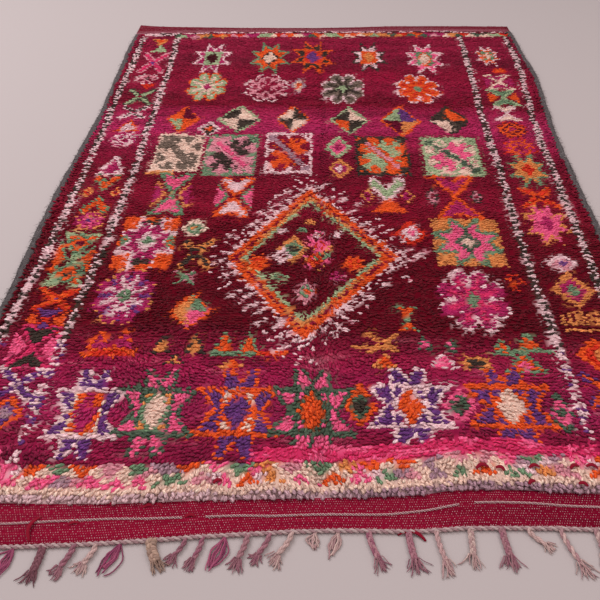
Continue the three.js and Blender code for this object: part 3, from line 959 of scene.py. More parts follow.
@dataclass(frozen=True)
class Chart:
    """The rug's design, as the colour of every knot."""

    outline: Outline
    diamond: Diamond = field(default_factory=Diamond)
    rope_half_width: float = 0.0128
    rope_twist: float = 0.026
    rope_stop: float = 0.055
    purple_below: float = -0.85
    triangle_pitch: float = 0.060
    far_line: float = 0.024
    far_line_start: float = -0.86
    far_triangles: tuple[float, float] = (0.032, 0.078)
    far_span: tuple[float, float] = (-0.70, 0.90)
    corner_bar: tuple[float, float] = (1.234, 1.256)
    corner_span: tuple[float, float] = (-0.862, -0.69)
    pink_span: tuple[float, float] = (-0.16, 0.66)
    pink_band: tuple[float, float] = (0.088, 0.128)
    near_half_width: float = 0.90
    near_triangles: tuple[tuple[float, float], ...] = ((0.030, 0.062), (0.094, 0.062))
    cream_row: float = 0.033
    # Width along the pile's near face that is painted as shade
    painted_shade_rim: float = 0.013

    def colours(self, u: Array, v: Array) -> Array:
        """Find the colour of the knots at some places.

        Args:
            u, v: the places.

        Returns:
            Linear red, green and blue, a row for each place.
        """
        tone = self.ground(u, v)
        self.diamond.lay(tone, u, v)
        for motif in MOTIFS:
            motif.lay(tone, u, v)
        self.ropes(tone, u, v)
        self.far_border(tone, u, v)
        self.near_border(tone, u, v)
        return tone

    def ground(self, u: Array, v: Array) -> Array:
        """Dye the ground: read from its table at a slightly wavering place, with streaks across the rug.

        Args:
            u, v: the places.

        Returns:
            Linear red, green and blue, a row for each place.
        """
        places = np.array([place for place, _ in GROUND])
        dyes = np.array([linear(code) for _, code in GROUND])
        at = v + 0.016 * lumps(u, v, 0.17, 0.30, 3)
        tone = np.stack([np.interp(at, places, dyes[:, k]) for k in range(3)], -1)
        streak = 0.6 * lumps(u, v, 0.21, 0.013, 5) + 0.4 * lumps(u, v, 0.07, 0.010, 6)
        low = ease(-0.75, -0.9, v)
        patch = low * (0.6 * lumps(u, v, 0.055, 0.035, 24) + 0.4 * lumps(u, v, 0.024, 0.018, 25))
        tone *= (1 + 0.32 * streak + 0.26 * patch)[:, None]
        pale = np.clip(streak - 0.42, 0, 1) * low * 0.9
        return mix(tone, Yarn.ROSE.light * 0.75, pale[:, None])

    def ropes(self, tone: Array, u: Array, v: Array) -> None:
        """Lay the four ropes: light and dark knots by turns, in chevrons that point along the rug.

        Args:
            tone: each knot's colour, which is changed in place.
            u, v: the knots' places.
        """
        for rope in ROPES.values():
            places = np.array(rope)
            at = np.interp(v, places[:, 0], places[:, 1]) + 0.003 * lumps(u, v, 1.0, 0.05, 8)
            off = u - at
            drawn = (abs(off) < self.rope_half_width) & (v < self.outline.far_pile(u) - self.rope_stop)
            turn = (v + 0.9 * abs(off)) / self.rope_twist + 0.2 * chance(np.floor(v / 0.05), 2)
            dark = drawn & ~((turn % 1 < 0.53) ^ (dots(u, v, 0.009) > 0.72))
            low = v < self.purple_below
            tone[drawn & ~dark] = Yarn.BLUSH.light
            tone[dark & ~low] = Yarn.SOOT.light
            tone[dark & low & (chance(np.floor(v / 0.021), 7) > 0.1)] = Yarn.PURPLE.light

    def triangles(
        self, tone: Array, rim: Array, u: Array, row: tuple[float, float], seed: int, yarns: str,
        between: str,
    ) -> None:
        """Lay a row of triangles along an end, with other colours between them.

        Args:
            tone: each knot's colour, which is changed in place.
            rim: how far each knot is from the pile's end.
            u: how far each knot is across the rug.
            row: where the triangles' base and tips are, from the pile's end.
            seed: sets the order of the yarns.
            yarns: the triangles' yarns.
            between: the yarns between them.
        """
        base, tip = row
        share = (rim - base) / (tip - base)
        place = u / self.triangle_pitch + 0.18 * chance(np.floor(u / 0.11), seed)
        number = np.floor(place)
        inner = abs(place - number - 0.5) * 2 < 1.1 - share
        drawn = (share >= 0) & (share < 1)
        for names, here, key in ((yarns, inner, number), (between, ~inner, np.floor(place + 0.5) + 0.5)):
            lights = np.array([Yarn[name.upper()].light for name in names.split()])
            pick = ((chance(key, seed) + 1) / 2 * len(lights)).astype(int) % len(lights)
            tone[drawn & here] = lights[pick[drawn & here]]

    def far_border(self, tone: Array, u: Array, v: Array) -> None:
        """Lay the far end: a line of light and dark knots at the rim, and triangles inside it.

        Args:
            tone: each knot's colour, which is changed in place.
            u, v: the knots' places.
        """
        rim = self.outline.far_pile(u) - v
        light = chance(np.floor(u / 0.021), np.floor(rim / 0.010)) > -0.25
        line = (rim < self.far_line) & (u > self.far_line_start)
        for drawn in (line, within(v, self.corner_bar) & within(u, self.corner_span)):
            tone[drawn] = Yarn.SOOT.light
            tone[drawn & light] = Yarn.BLUSH.light
        inside = np.where(within(u, self.far_span), rim, -1)
        yarns = "orange sage amber orange pine magenta coral"
        self.triangles(tone, inside, u, self.far_triangles, 4, yarns, "cream rose sage cream pine amber")

    def near_border(self, tone: Array, u: Array, v: Array) -> None:
        """Lay the near end: a band of two pinks, triangles, then a cream row and painted shade at the rim.

        Args:
            tone: each knot's colour, which is changed in place.
            u, v: the knots' places.
        """
        ragged = v - self.outline.near_pile(u) + 0.006 * lumps(u, v, 0.035, 0.05, 9)
        low, high = self.pink_band
        high = high + 0.012 * lumps(u, v, 0.12, 9.0, 2)
        pink = (ragged > low) & (ragged < high) & within(u, self.pink_span)
        tone[pink] = Yarn.CERISE.light
        tone[pink & (lumps(u, v, 0.05, 0.012, 10) > 0.25)] = Yarn.PINK.light
        inside = np.where(abs(u) < self.near_half_width, ragged, -1)
        yarns = "orange pink orange lilac pink green rose orange amber pink rose"
        between = "cream lilac cream rose cream blush cream pink cream"
        lower, upper = self.near_triangles
        self.triangles(tone, inside, u, lower, 11, yarns, between)
        self.triangles(tone, inside, u + 0.02, upper, 13, yarns, between)
        tone[ragged < self.cream_row] = Yarn.CREAM.light
        # Painted shade on the pile's near face: the rim knots in darkened blush on the left, turning lilac to
        # the right, with lumps
        share = np.clip(ease(-0.45, 0.35, u) + 0.35 * lumps(u, v, 0.05, 0.05, 26), 0, 1)[:, None]
        rims = mix(Yarn.BLUSH.light * 0.82, Yarn.LILAC.light, share)
        tone[ragged < self.painted_shade_rim] = rims[ragged < self.painted_shade_rim]


@dataclass
class Surface:
    """The points and faces of one piece, with what is painted on them, gathered before they become a mesh."""

    points: list[Array] = field(default_factory=list)
    faces: list[Array] = field(default_factory=list)
    maps: list[Array] = field(default_factory=list)
    tones: list[Array] = field(default_factory=list)
    grains: list[Array] = field(default_factory=list)
    parts: list[int] = field(default_factory=list)

    def add(self, points: Array, faces: Sequence[tuple[Array, Array]], tone: Array, grain: Array) -> None:
        """Add a closed shell.

        Args:
            points: its points, a row each.
            faces: groups of faces with as many corners, each as point numbers and as places on the flat map.
            tone: linear red, green and blue of each point.
            grain: three numbers at each point that the material draws fibres with. On a strand they are the
                cosine and sine of the angle around it, and the place along it plus a chance value.
        """
        start = sum(len(part) for part in self.points)
        self.points.append(np.maximum(points, [-np.inf, -np.inf, FLOOR_GAP]))
        self.tones.append(np.clip(tone, 0, 1))
        self.grains.append(grain)
        for corners, places in faces:
            self.faces.append(corners + start)
            self.maps.append(places)
            self.parts.append(len(self.points) - 1)

    def triangles(self) -> int:
        """How many triangles the faces come to."""
        return sum(len(group) * (group.shape[1] - 2) for group in self.faces)

    def flat_places(self) -> Array:
        """Give every shell an upright strip of the flat map, as wide as its share of the points.

        Returns:
            Where each corner of each face is on the map.
        """
        edges = np.cumsum([0, *(len(part) for part in self.points)]) / sum(len(part) for part in self.points)
        strips = [
            (places * [edges[part + 1] - edges[part], 1] + [edges[part], 0]).reshape(-1, 2)
            for places, part in zip(self.maps, self.parts)
        ]
        return np.concatenate(strips)

    def to_object(self, name: str) -> bpy.types.Object:
        """Make the piece: a mesh with smooth faces, the flat map, and the tone and grain of its points.

        Args:
            name: the piece's name.

        Returns:
            The piece.
        """
        mesh = bpy.data.meshes.new(name)
        points = np.concatenate(self.points)
        corners = np.concatenate([group.ravel() for group in self.faces])
        sizes = np.concatenate([np.full(len(group), group.shape[1]) for group in self.faces])
        starts = np.concatenate([[0], np.cumsum(sizes)[:-1]])
        mesh.vertices.add(len(points))
        mesh.vertices.foreach_set("co", points.astype(np.float32).ravel())
        mesh.loops.add(len(corners))
        mesh.loops.foreach_set("vertex_index", corners.astype(np.int32))
        mesh.polygons.add(len(sizes))
        mesh.polygons.foreach_set("loop_start", starts.astype(np.int32))
        mesh.polygons.foreach_set("use_smooth", np.ones(len(sizes), bool))
        flat = mesh.uv_layers.new(name=BAKE_MAP)
        flat.data.foreach_set("uv", self.flat_places().astype(np.float32).ravel())
        colours = np.concatenate(self.tones)
        for key, kind, entry, values in (
            ("tone", "FLOAT_COLOR", "color", np.c_[colours, np.ones(len(colours))]),
            ("grain", "FLOAT_VECTOR", "vector", np.concatenate(self.grains)),
        ):
            painted = mesh.attributes.new(key, kind, "POINT")
            painted.data.foreach_set(entry, values.astype(np.float32).ravel())
        mesh.update(calc_edges=True)
        log.info("%s: %d triangles", name, self.triangles())
        return placed(name, mesh)


@dataclass
class Strands:
    """A bundle of closed strands that have the same count of rings and sides.

    A strand is an oval section carried along a path. The section's first axis lies level, square to the path,
    unless it is given, and its second is square to both.
    """

    path: Array
    width: Array
    thick: Array
    sides: int = 6
    level: Array | None = None
    is_pointed: bool = False
    relief: Array | float = 1.0
    # How much of its row a strand fills on the flat map, and the margin around its cell
    row_filled: float = 0.94
    margin: float = 0.06

    def turn(self) -> Array:
        """The angle of each side of the section, with one of them on top of a three-sided strand."""
        return TAU * (np.arange(self.sides) + 0.75) / self.sides

    def frames(self) -> tuple[Array, Array]:
        """Find the section's axes by the cross products of the path's heading with upright.

        Returns:
            The first and the second axis at each ring.
        """
        heading = np.gradient(self.path, axis=1)
        heading /= np.linalg.norm(heading, axis=2, keepdims=True) + 1e-12
        if self.level is None:
            across = np.cross([0.0, 0.0, 1.0], heading)
        else:
            across = self.level - heading * (self.level * heading).sum(2, keepdims=True)
        across /= np.linalg.norm(across, axis=2, keepdims=True) + 1e-12
        return across, np.cross(heading, across)

    def points(self) -> Array:
        """Place the points: the path plus the cosine of the angle of one axis and the sine of the other.

        Returns:
            Each strand's points, ring by ring.
        """
        across, rise = self.frames()
        count, rings = self.path.shape[:2]
        last = rings - 1 if self.is_pointed else rings
        turn = self.turn()
        width = (self.width / 2)[..., None, None] * across[:, :, None] * np.cos(turn)[:, None]
        thick = (self.thick / 2)[..., None, None] * rise[:, :, None] * np.sin(turn)[:, None]
        relief = np.broadcast_to(self.relief, (count, rings, self.sides))[..., None]
        ring = self.path[:, :, None] + (width + thick) * relief
        points = ring[:, :last].reshape(count, -1, 3)
        return np.concatenate([points, self.path[:, -1:]], 1) if self.is_pointed else points

    def faces(self, folds: int = 1) -> list[tuple[Array, Array]]:
        """The faces: quads between rings, a flat cap at each blunt end and a fan at a pointed one.

        On the flat map each strand has a square cell of its own, where a long strand is folded into rows.

        Args:
            folds: rows that a strand is folded into on the map.

        Returns:
            Groups of faces with as many corners: point numbers, and places on the map.
        """
        count, rings = self.path.shape[:2]
        sides, filled = self.sides, self.row_filled
        solid = rings - 1 if self.is_pointed else rings
        per_strand = solid * sides + (1 if self.is_pointed else 0)
        k, s = (grid.ravel() for grid in np.meshgrid(np.arange(solid - 1), np.arange(sides), indexing="ij"))
        after = (s + 1) % sides
        quad = np.stack([k * sides + s, k * sides + after, (k + 1) * sides + after, (k + 1) * sides + s], 1)
        per_row = math.ceil(rings / folds)
        row, local = k // per_row, k % per_row
        spot = box_corners(local, local + 1, row + s / sides * filled, row + (s + 1) / sides * filled)
        ring = np.arange(sides)
        around = np.stack([np.zeros(sides), ring / sides / folds], 1)
        groups = [(quad, spot / [per_row, folds]), (ring[None, ::-1], around[None, ::-1])]
        if self.is_pointed:
            base = (solid - 1) * sides
            tip = np.stack([base + ring, base + (ring + 1) % sides, np.full(sides, per_strand - 1)], 1)
            low = (solid - 1) / per_row
            spot = np.stack([
                np.stack([np.full(sides, low), ring / sides * filled], 1),
                np.stack([np.full(sides, low), (ring + 1) / sides * filled], 1),
                np.stack([np.full(sides, low + 1 / per_row), (ring + 0.5) / sides * filled], 1),
            ], 1) / [1, folds]
            groups.append((tip, spot))
        else:
            groups.append(((rings - 1) * sides + ring[None], around[None]))
        cells = math.ceil(math.sqrt(count))
        number = np.arange(count)
        corner = np.stack([number % cells, number // cells], 1)[:, None, None]
        spread = []
        for corners, places in groups:
            numbers = (corners[None] + (number * per_strand)[:, None, None]).reshape(-1, corners.shape[1])
            spots = (corner + self.margin + places[None] * (1 - 2 * self.margin)) / cells
            spread.append((numbers, spots.reshape(-1, places.shape[1], 2)))
        return spread

    def add_to(
        self, surface: Surface, tone: Array, folds: int = 1, shade: Array | None = None, seed: int = 0,
        turns: float = 1.0,
    ) -> None:
        """Add the bundle to a surface.

        Args:
            surface: what it is added to.
            tone: a colour for each strand.
            folds: rows that a strand is folded into on the flat map.
            shade: how light each ring is, where they differ: painted shade along the strand, such as at a
                lock's root.
            seed: sets the strands apart from those of another bundle.
            turns: lengths of yarn along the strand, for its grain.
        """
        count, rings = self.path.shape[:2]
        solid = rings - 1 if self.is_pointed else rings
        light = np.ones(rings) if shade is None else shade
        per_ring = np.repeat(light[:solid], self.sides)
        along = np.repeat(np.arange(solid) / rings, self.sides)
        around = np.tile(self.turn(), solid)
        right, up = np.cos(around), np.sin(around)
        if self.is_pointed:
            per_ring, along = np.r_[per_ring, light[-1]], np.r_[along, 1.0]
            right, up = np.r_[right, 0.0], np.r_[up, 0.0]
        colours = (tone[:, None] * per_ring[None, :, None]).reshape(-1, 3)
        apart = 40 * chance(np.arange(count), seed + 0.37)[:, None]
        lines = np.broadcast_arrays(right[None], up[None], along[None] * turns + apart)
        grain = np.stack(lines, -1).reshape(-1, 3)
        surface.add(self.points().reshape(-1, 3), self.faces(folds), colours, grain)


@dataclass
class Pile:
    """The knotted pile: a lock of wool for each knot, in strips along the rug."""

    outline: Outline
    chart: Chart
    columns: int = 172
    rows: int = 262
    strips: int = 5
    rim: float = 0.004
    length: float = 0.0180
    short_length: float = 0.0185
    width: float = 0.0118
    plump_width: float = 0.0134
    thick: float = 0.0052
    depth: float = 0.0100
    ring_places: tuple[float, ...] = (0.0, 0.35, 0.74, 1.0)
    ring_widths: tuple[float, ...] = (0.75, 1.0, 0.70, 0.0)
    # Lightness of each ring along a lock: darker at the root as painted shade under the neighbouring locks,
    # lighter towards the tip
    ring_painted_shades: tuple[float, ...] = (0.72, 0.92, 1.03, 1.08)
    ring_rises: tuple[float, ...] = (0.0, 0.62, 0.86, 0.70)
    drooped_rises: tuple[float, ...] = (0.0, 0.74, 0.62, 0.25)
    # Half width of the painted shade along the crease
    painted_crease_shade: float = 0.011
    crease_lean: float = 0.075
    side_lean: float = 0.018
    seed: int = 41

    def knots(self) -> tuple[Array, Array]:
        """Place the knots: a grid stretched to the pile's edges, each knot a little out of place.

        Returns:
            Their u and v.
        """
        chances = np.random.default_rng(self.seed)
        a, b = np.meshgrid(np.arange(self.columns), np.arange(self.rows), indexing="ij")
        a = (a + 0.5 + chances.uniform(-0.28, 0.28, a.shape)).ravel() / self.columns
        b = (b + 0.5 + chances.uniform(-0.22, 0.22, b.shape)).ravel() / self.rows
        rough = mix(-SIDES["left"][0], SIDES["right"][0], a)
        v = mix(self.outline.near_pile(rough) + self.rim, self.outline.far_pile(rough) - self.rim, b)
        left, right = (self.outline.body_side(v, hand) - hand * self.rim for hand in (-1, 1))
        return mix(left, right, a), v

    def plump(self, u: Array, v: Array) -> Array:
        """Where the locks stand short and plump, from 0 to 1: the near part and the near rim."""
        return ease(*PLUMP_PART, v + 0.03 * lumps(u, v, 0.2, 0.2, 12))

    def headings(self, u: Array, v: Array, chances: np.random.Generator) -> Array:
        """Which way each lock lies.

        Most lie sideways, to the left or right by patches. Along the crease and at the near rim they turn
        towards the near end, and the plump ones lie every way.

        Args:
            u, v: the knots' places.
            chances: where the uneven part comes from.

        Returns:
            A level unit vector for each lock.
        """
        patch = lumps(u, v, 0.24, 0.16, 21) + 0.45 * np.tanh(u / 0.3)
        way = np.where(patch + 0.35 * chances.normal(size=len(u)) > 0, 1.0, -1.0)
        slope = 0.34 * lumps(u, v, 0.10, 0.08, 22) + 0.20 * chances.normal(size=len(u))
        inner = np.minimum(u - self.outline.body_side(v, -1), self.outline.body_side(v, 1) - u)
        way = np.where(inner < self.side_lean, np.sign(u) * 0.55, way)
        slope = np.where(inner < self.side_lean, slope * 2.5, slope)
        sideways = np.stack([way, slope - 0.10], -1)
        off = (u - self.outline.crease(v)) / self.crease_lean
        down = 0.85 * np.exp(-off * off) * ease(0.30, -0.30, v)
        rim = v - self.outline.near_pile(u)
        down = np.maximum(down, ease(0.15, 0.03, rim) * (0.55 + 0.4 * ease(-0.5, -0.2, u)))
        plump = self.plump(u, v)
        down = np.maximum(down, 0.30 * plump + 0.5 * plump * lumps(u, v, 0.06, 0.05, 23))
        near = np.stack([0.45 * chances.normal(size=len(u)), -np.ones(len(u))], -1)
        heading = mix(sideways, near, np.clip(down, 0, 1)[:, None])
        return heading / (np.linalg.norm(heading, axis=1, keepdims=True) + 1e-9)

    def paths(self, u: Array, v: Array, heading: Array, chances: np.random.Generator) -> tuple[Array, ...]:
        """Run the locks: each rises out of its knot, leans over on to its neighbour and droops at the tip.

        The level part of a path is the heading times the length, plus a curl and a clump that grow along it.
        Its height goes up from the knot to the pile's uneven top.

        Args:
            u, v: the knots' places.
            heading: which way each lock lies.
            chances: where the uneven part comes from.

        Returns:
            Each lock's points, its width and its thickness.
        """
        count, plump = len(u), self.plump(u, v)
        across = np.stack([-heading[:, 1], heading[:, 0]], -1)
        length = mix(self.length, self.short_length, plump) * chances.uniform(0.78, 1.20, count)
        width = mix(self.width, self.plump_width, plump) * chances.uniform(0.82, 1.18, count)
        thick = self.thick * (1 + 0.25 * plump) * chances.uniform(0.85, 1.15, count)
        uneven = 0.0016 * lumps(u, v, 0.040, 0.026, 31) + 0.0004 * chances.normal(size=count)
        rims = np.minimum(v - self.outline.near_pile(u), self.outline.far_pile(u) - v)
        sides = np.minimum(u - self.outline.side(v, -1), self.outline.side(v, 1) - u)
        slope = 0.0048 * (1 - ease(0.0, 0.022, rims)) + 0.0030 * (1 - ease(0.014, 0.045, sides))
        top = self.outline.height(u, v) + uneven - slope
        clump = np.stack([lumps(u, v, 0.028, 0.020, seed) for seed in (32, 33)], -1) * 0.0045
        curl = 0.16 * chances.normal(size=count)
        place = np.array(self.ring_places)
        level = heading[:, None] * (length[:, None] * place)[..., None]
        level += across[:, None] * (length * curl)[:, None, None] * (place**2)[None, :, None]
        level += clump[:, None] * (place**1.5)[None, :, None]
        droop = ease(0.016, 0.003, rims)
        level *= (1 - 0.25 * droop)[:, None, None]
        rise = mix(np.array(self.ring_rises), np.array(self.drooped_rises), droop[:, None])
        path = np.empty((count, len(place), 3))
        path[..., :2] = np.stack([u, v], -1)[:, None] + level
        path[..., 2] = (top - self.depth)[:, None] + (self.depth - thick / 2)[:, None] * rise
        return path, width, thick

    def build(self) -> list[bpy.types.Object]:
        """Make the locks, in the chart's colours, with painted shade down in the crease and at each lock's
        root.

        Returns:
            One piece for each strip.
        """
        u, v = self.knots()
        chances = np.random.default_rng(self.seed + 1)
        heading = self.headings(u, v, chances)
        path, width, thick = self.paths(u, v, heading, chances)
        middle = path[:, 1:3, :2].mean(1)
        tone = self.chart.colours(middle[:, 0], middle[:, 1])
        tone *= (1 + 0.13 * np.clip(chances.normal(size=len(u)), -2, 2))[:, None]
        # Painted shade down in the crease: each lock darkened by up to 0.24 in a bell across the crease line
        off = (u - self.outline.crease(v)) / self.painted_crease_shade
        tone *= (1 - 0.24 * np.exp(-off * off))[:, None]
        path += self.outline.shift()
        level = np.stack([-heading[:, 1], heading[:, 0], np.zeros(len(u))], -1)[:, None]
        shape = np.array(self.ring_widths)
        strip = np.repeat(np.arange(self.columns) * self.strips // self.columns, self.rows)
        pieces = []
        for number in range(self.strips):
            mine = strip == number
            bundle = Strands(
                path[mine], width[mine, None] * shape, thick[mine, None] * shape, sides=3, level=level[mine],
                is_pointed=True,
            )
            surface = Surface()
            # The rings' lightness paints shade at each lock's root
            bundle.add_to(surface, tone[mine], shade=np.array(self.ring_painted_shades), seed=number)
            pieces.append(surface.to_object(f"pile_{number + 1}"))
        log.info("pile: %d locks in %d strips", len(u), self.strips)
        return pieces


@dataclass
class GroundWeave:
    """The woven ground under the pile, and the flat-woven bands that it ends in."""

    outline: Outline
    chart: Chart
    columns: int = 64
    band_rows: int = 56
    pile_rows: int = 104
    rib: float = 0.00035
    sunk: float = 0.0060
    near_sunk: float = 0.0070
    seam: float = 0.0006
    side_sunk: float = 0.007
    side_slope: float = 0.024
    end_slope: tuple[float, float] = (0.004, 0.026)
    near_dye: str = "#860E2C"
    near_right_dye: str = "#780A26"
    far_dye: str = "#701428"
    line_dye: str = "#D89AA8"

    def rows(self) -> tuple[Array, Array, Array, Array]:
        """The ground's upper side as a grid.

        The rows go from the near edge to the far one: over the near band every other row stands up as a rib
        of weft, then they run under the pile with its lumps, and then over the far band.

        Returns:
            u, v and height of each point, and for each its distance from the nearer woven edge, which is
            below 0 under the pile.
        """
        share = np.linspace(0, 1, self.columns + 1)
        rough = mix(-SIDES["left"][0], SIDES["right"][0], share)
        near, far = self.outline.near(rough), self.outline.far(rough)
        near_pile, far_pile = self.outline.near_pile(rough), self.outline.far_pile(rough)
        blocks = (
            (near, near_pile - self.seam, self.band_rows),
            (near_pile, far_pile, self.pile_rows),
            (far_pile + self.seam, far, self.band_rows),
        )
        found = []
        for number, (start, end, count) in enumerate(blocks):
            steps = np.linspace(0, 1, count + 1)[:, None]
            v = mix(start[None], end[None], steps)
            edge = self.outline.body_side if number == 1 else self.outline.side
            u = mix(edge(v, -1), edge(v, 1), share)
            if number == 1:
                rim = np.minimum(v - near_pile, far_pile - v)
                under = self.outline.height(u, v) - mix(self.sunk, self.near_sunk, ease(*PLUMP_PART, v))
                side = np.minimum(u - edge(v, -1), edge(v, 1) - u)
                under = under - self.side_sunk * ease(self.side_slope, 0.0, side)
                z = mix(self.outline.band_height, under, ease(*self.end_slope, rim))
                edge_distance = np.full(u.shape, -1.0)
            else:
                ribs = self.rib * (-1.0) ** np.arange(count + 1)[:, None]
                cockle = 0.0005 * lumps(u, v, 0.06, 0.03, 14)
                z = self.outline.band_height - self.rib + ribs + cockle
                edge_distance = v - near if number == 0 else far - v
            found.append((u, v, z, edge_distance))
        return tuple(np.concatenate(part) for part in zip(*found))

    def band_tone(self, u: Array, v: Array) -> Array:
        """Dye the flat bands: crimson with streaks, and two faint pale lines in the far one.

        Args:
            u, v: places on the bands.

        Returns:
            Linear red, green and blue, a row for each place.
        """
        streak = lumps(u, v, 0.16, 0.006, 15)
        near_dye = mix(linear(self.near_dye), linear(self.near_right_dye), ease(0.2, 0.6, u)[:, None])
        dye = np.where((v > 0)[:, None], linear(self.far_dye), near_dye)
        dye = dye * (1 + 0.20 * streak)[:, None]
        rim = v - self.outline.far_pile(u)
        line = np.exp(-(((rim - 0.026) / 0.0045) ** 2)) + 0.5 * np.exp(-(((rim - 0.043) / 0.004) ** 2))
        line = line * (v > 0) * (0.75 + 0.25 * lumps(u, v, 0.03, 1.0, 16))
        return mix(dye, linear(self.line_dye), np.clip(line * 0.5, 0, 0.4)[:, None])

    def build(self) -> bpy.types.Object:
        """Make the ground as a thin closed slab: the upper grid, a flat lower one and the rim between them.

        Returns:
            The piece.
        """
        u, v, z, edge = self.rows()
        rows, across = u.shape
        shift = self.outline.shift()
        upper = np.stack([u + shift[0], v + shift[1], z], -1).reshape(-1, 3)
        lower = upper * [1, 1, 0]
        size = len(upper)
        first = np.arange(rows - 1)[:, None] * across + np.arange(across - 1)
        first = first.ravel()
        quad = np.stack([first, first + 1, first + across + 1, first + across], 1)
        spot = np.stack([quad % across / (across - 1) * 0.48, quad // across / (rows - 1)], -1)
        rim = np.concatenate([
            np.arange(across), np.arange(1, rows) * across + across - 1,
            (rows - 1) * across + np.arange(across - 2, -1, -1), np.arange(rows - 2, 0, -1) * across,
        ])
        after = np.roll(rim, -1)
        wall = np.stack([rim, rim + size, after + size, after], 1)
        share = np.arange(len(rim)) / len(rim)
        wall_spot = box_corners(share, share + 1 / len(rim), 0.985, 0.995)[..., ::-1]
        u, v, edge = u.ravel(), v.ravel(), edge.ravel()
        is_band = edge >= 0
        # The chart's colour under the pile is darkened to 0.85 as painted shade in the gaps between the
        # locks; the bands get their own dye next
        tone = self.chart.colours(u, v) * 0.85
        tone[is_band] = self.band_tone(u, v)[is_band]
        grain = np.stack([u, np.maximum(edge, 0), is_band.astype(float)], -1)
        surface = Surface()
        surface.add(
            np.concatenate([upper, lower]),
            [(quad, spot), (quad[:, ::-1] + size, spot[:, ::-1] + [0.49, 0]), (wall, wall_spot)],
            np.concatenate([tone, tone]), np.concatenate([grain, grain]),
        )
        return surface.to_object("ground_weave")


@dataclass
class Selvedge:
    """The overcast edge on one long side: coarse hair yarn wrapped round and round, with stray hairs."""

    outline: Outline
    hand: int
    wrap: float = 0.0098
    steps_per_wrap: int = 4
    sides: int = 12
    swell: float = 0.11
    hairs: int = 1500
    hair_rings: int = 5
    hair_width: float = 0.0014
    yarn: str = "#574F50"
    pale_yarn: str = "#A59799"

    def stations(self) -> tuple[float, float]:
        """Find the selvedge's ends, a hair's breadth inside the pile's corners.

        Returns:
            Where it starts and ends along the rug.
        """
        ends = "left" if self.hand < 0 else "right"
        start = self.outline.near_pile(self.hand * SIDES[ends][0]) + self.outline.gap
        end = self.outline.far_pile(self.hand * SIDES[ends][-1]) - self.outline.gap
        return float(start), float(end)

    def wrapping(self, surface: Surface) -> None:
        """Add the wrapped edge: an oval carried along the side, with a ridge for each turn of the yarn.

        The ridge's height is the size of a cosine of half the angle around the edge plus half a turn for
        every wrap along it, so the ridges lean as real overcasting does.

        Args:
            surface: what it is added to.
        """
        start, end = self.stations()
        steps = round((end - start) / self.wrap * self.steps_per_wrap)
        v = np.linspace(start, end, steps + 1)
        width, height = self.outline.selvedge_width, self.outline.selvedge_height
        u = self.outline.side(v, self.hand) - self.hand * width / 2 + 0.0028 * ripple(v, 0.045, 19)
        path = np.stack([u, v, np.full(len(v), height / 2)], -1) + self.outline.shift()
        number = (v - start) / self.wrap + 0.35 * ripple(v, 0.05, 18)
        lean = number[:, None] + self.hand * np.arange(self.sides) / self.sides
        ridge = 1 + self.swell * (2 * abs(np.cos(math.pi * lean)) ** 0.6 - 1)
        ridge = ridge + 0.03 * ripple(v, 0.02)[:, None]
        ridge = ridge + 0.07 * chance(np.arange(len(v))[:, None], np.arange(self.sides))
        sizes = (np.full((1, len(v)), size) for size in (width, height))
        bundle = Strands(path[None], *sizes, self.sides, relief=ridge[None])
        bundle.add_to(surface, linear(self.yarn)[None], folds=12, seed=self.hand, turns=len(v) / 3)
        surface.points[-1][:, 2] = np.maximum(surface.points[-1][:, 2], 2 * FLOOR_GAP)

    def stray_hairs(self, surface: Surface) -> None:
        """Add hairs that stand out of the wrapping: each starts on it, leans out and curls back down.

        Args:
            surface: what they are added to.
        """
        chances = np.random.default_rng(50 + self.hand)
        start, end = self.stations()
        v = chances.uniform(start + 0.01, end - 0.01, self.hairs)
        width, height = self.outline.selvedge_width, self.outline.selvedge_height
        u = self.outline.side(v, self.hand) - self.hand * width * chances.uniform(0.15, 0.95, self.hairs)
        t = np.linspace(0, 1, self.hair_rings)
        length = chances.uniform(0.008, 0.021, self.hairs)[:, None]
        out = self.hand * chances.uniform(0.0, 1.0, self.hairs)[:, None]
        along = chances.normal(size=(self.hairs, 1)) * 0.9
        curl = chances.normal(size=(self.hairs, 1)) * 0.5
        path = np.stack([
            u[:, None] + length * (out * t + 0.3 * curl * t**2),
            v[:, None] + length * (along * t + curl * np.sin(3 * t) * 0.4),
            height * 0.86 + length * (0.62 * t - 0.55 * t**2) - 0.002 * (1 - t),
        ], -1) + self.outline.shift()
        thick = np.full((self.hairs, len(t)), self.hair_width) * (1 - 0.4 * t)
        is_pale = chances.uniform(size=(self.hairs, 1)) < 0.45
        tone = np.where(is_pale, linear(self.pale_yarn), linear(self.yarn) * 1.15)
        Strands(path, thick, thick, 3, is_pointed=True).add_to(surface, tone, seed=3)

    def build(self) -> bpy.types.Object:
        """Make the selvedge.

        Returns:
            The piece.
        """
        surface = Surface()
        self.wrapping(surface)
        self.stray_hairs(surface)
        return surface.to_object("overcast_left" if self.hand < 0 else "overcast_right")


def twisted(line: Array, radius: float, pitch: float, plies: int, start: float = 0.0) -> Array:
    """Twist strands round a line that lies level.

    Each strand is the line plus a circle's cosine sideways and its sine upwards, by the length run so far.

    Args:
        line: the middle line's points.
        radius: from the middle line to each strand's own.
        pitch: the length of one turn.
        plies: how many strands.
        start: a turn added to all, in turns.

    Returns:
        Each strand's points.
    """
    step = np.gradient(line, axis=0)
    run = np.r_[0, np.cumsum(np.linalg.norm(np.diff(line, axis=0), axis=1))]
    across = np.stack([-step[:, 1], step[:, 0], np.zeros(len(line))], -1)
    across /= np.linalg.norm(across, axis=1, keepdims=True)
    angle = TAU * (run[None] / pitch + np.arange(plies)[:, None] / plies + start)
    circle = across[None] * np.cos(angle)[..., None] + np.array([0, 0, 1.0]) * np.sin(angle)[..., None]
    return line[None] + radius * circle


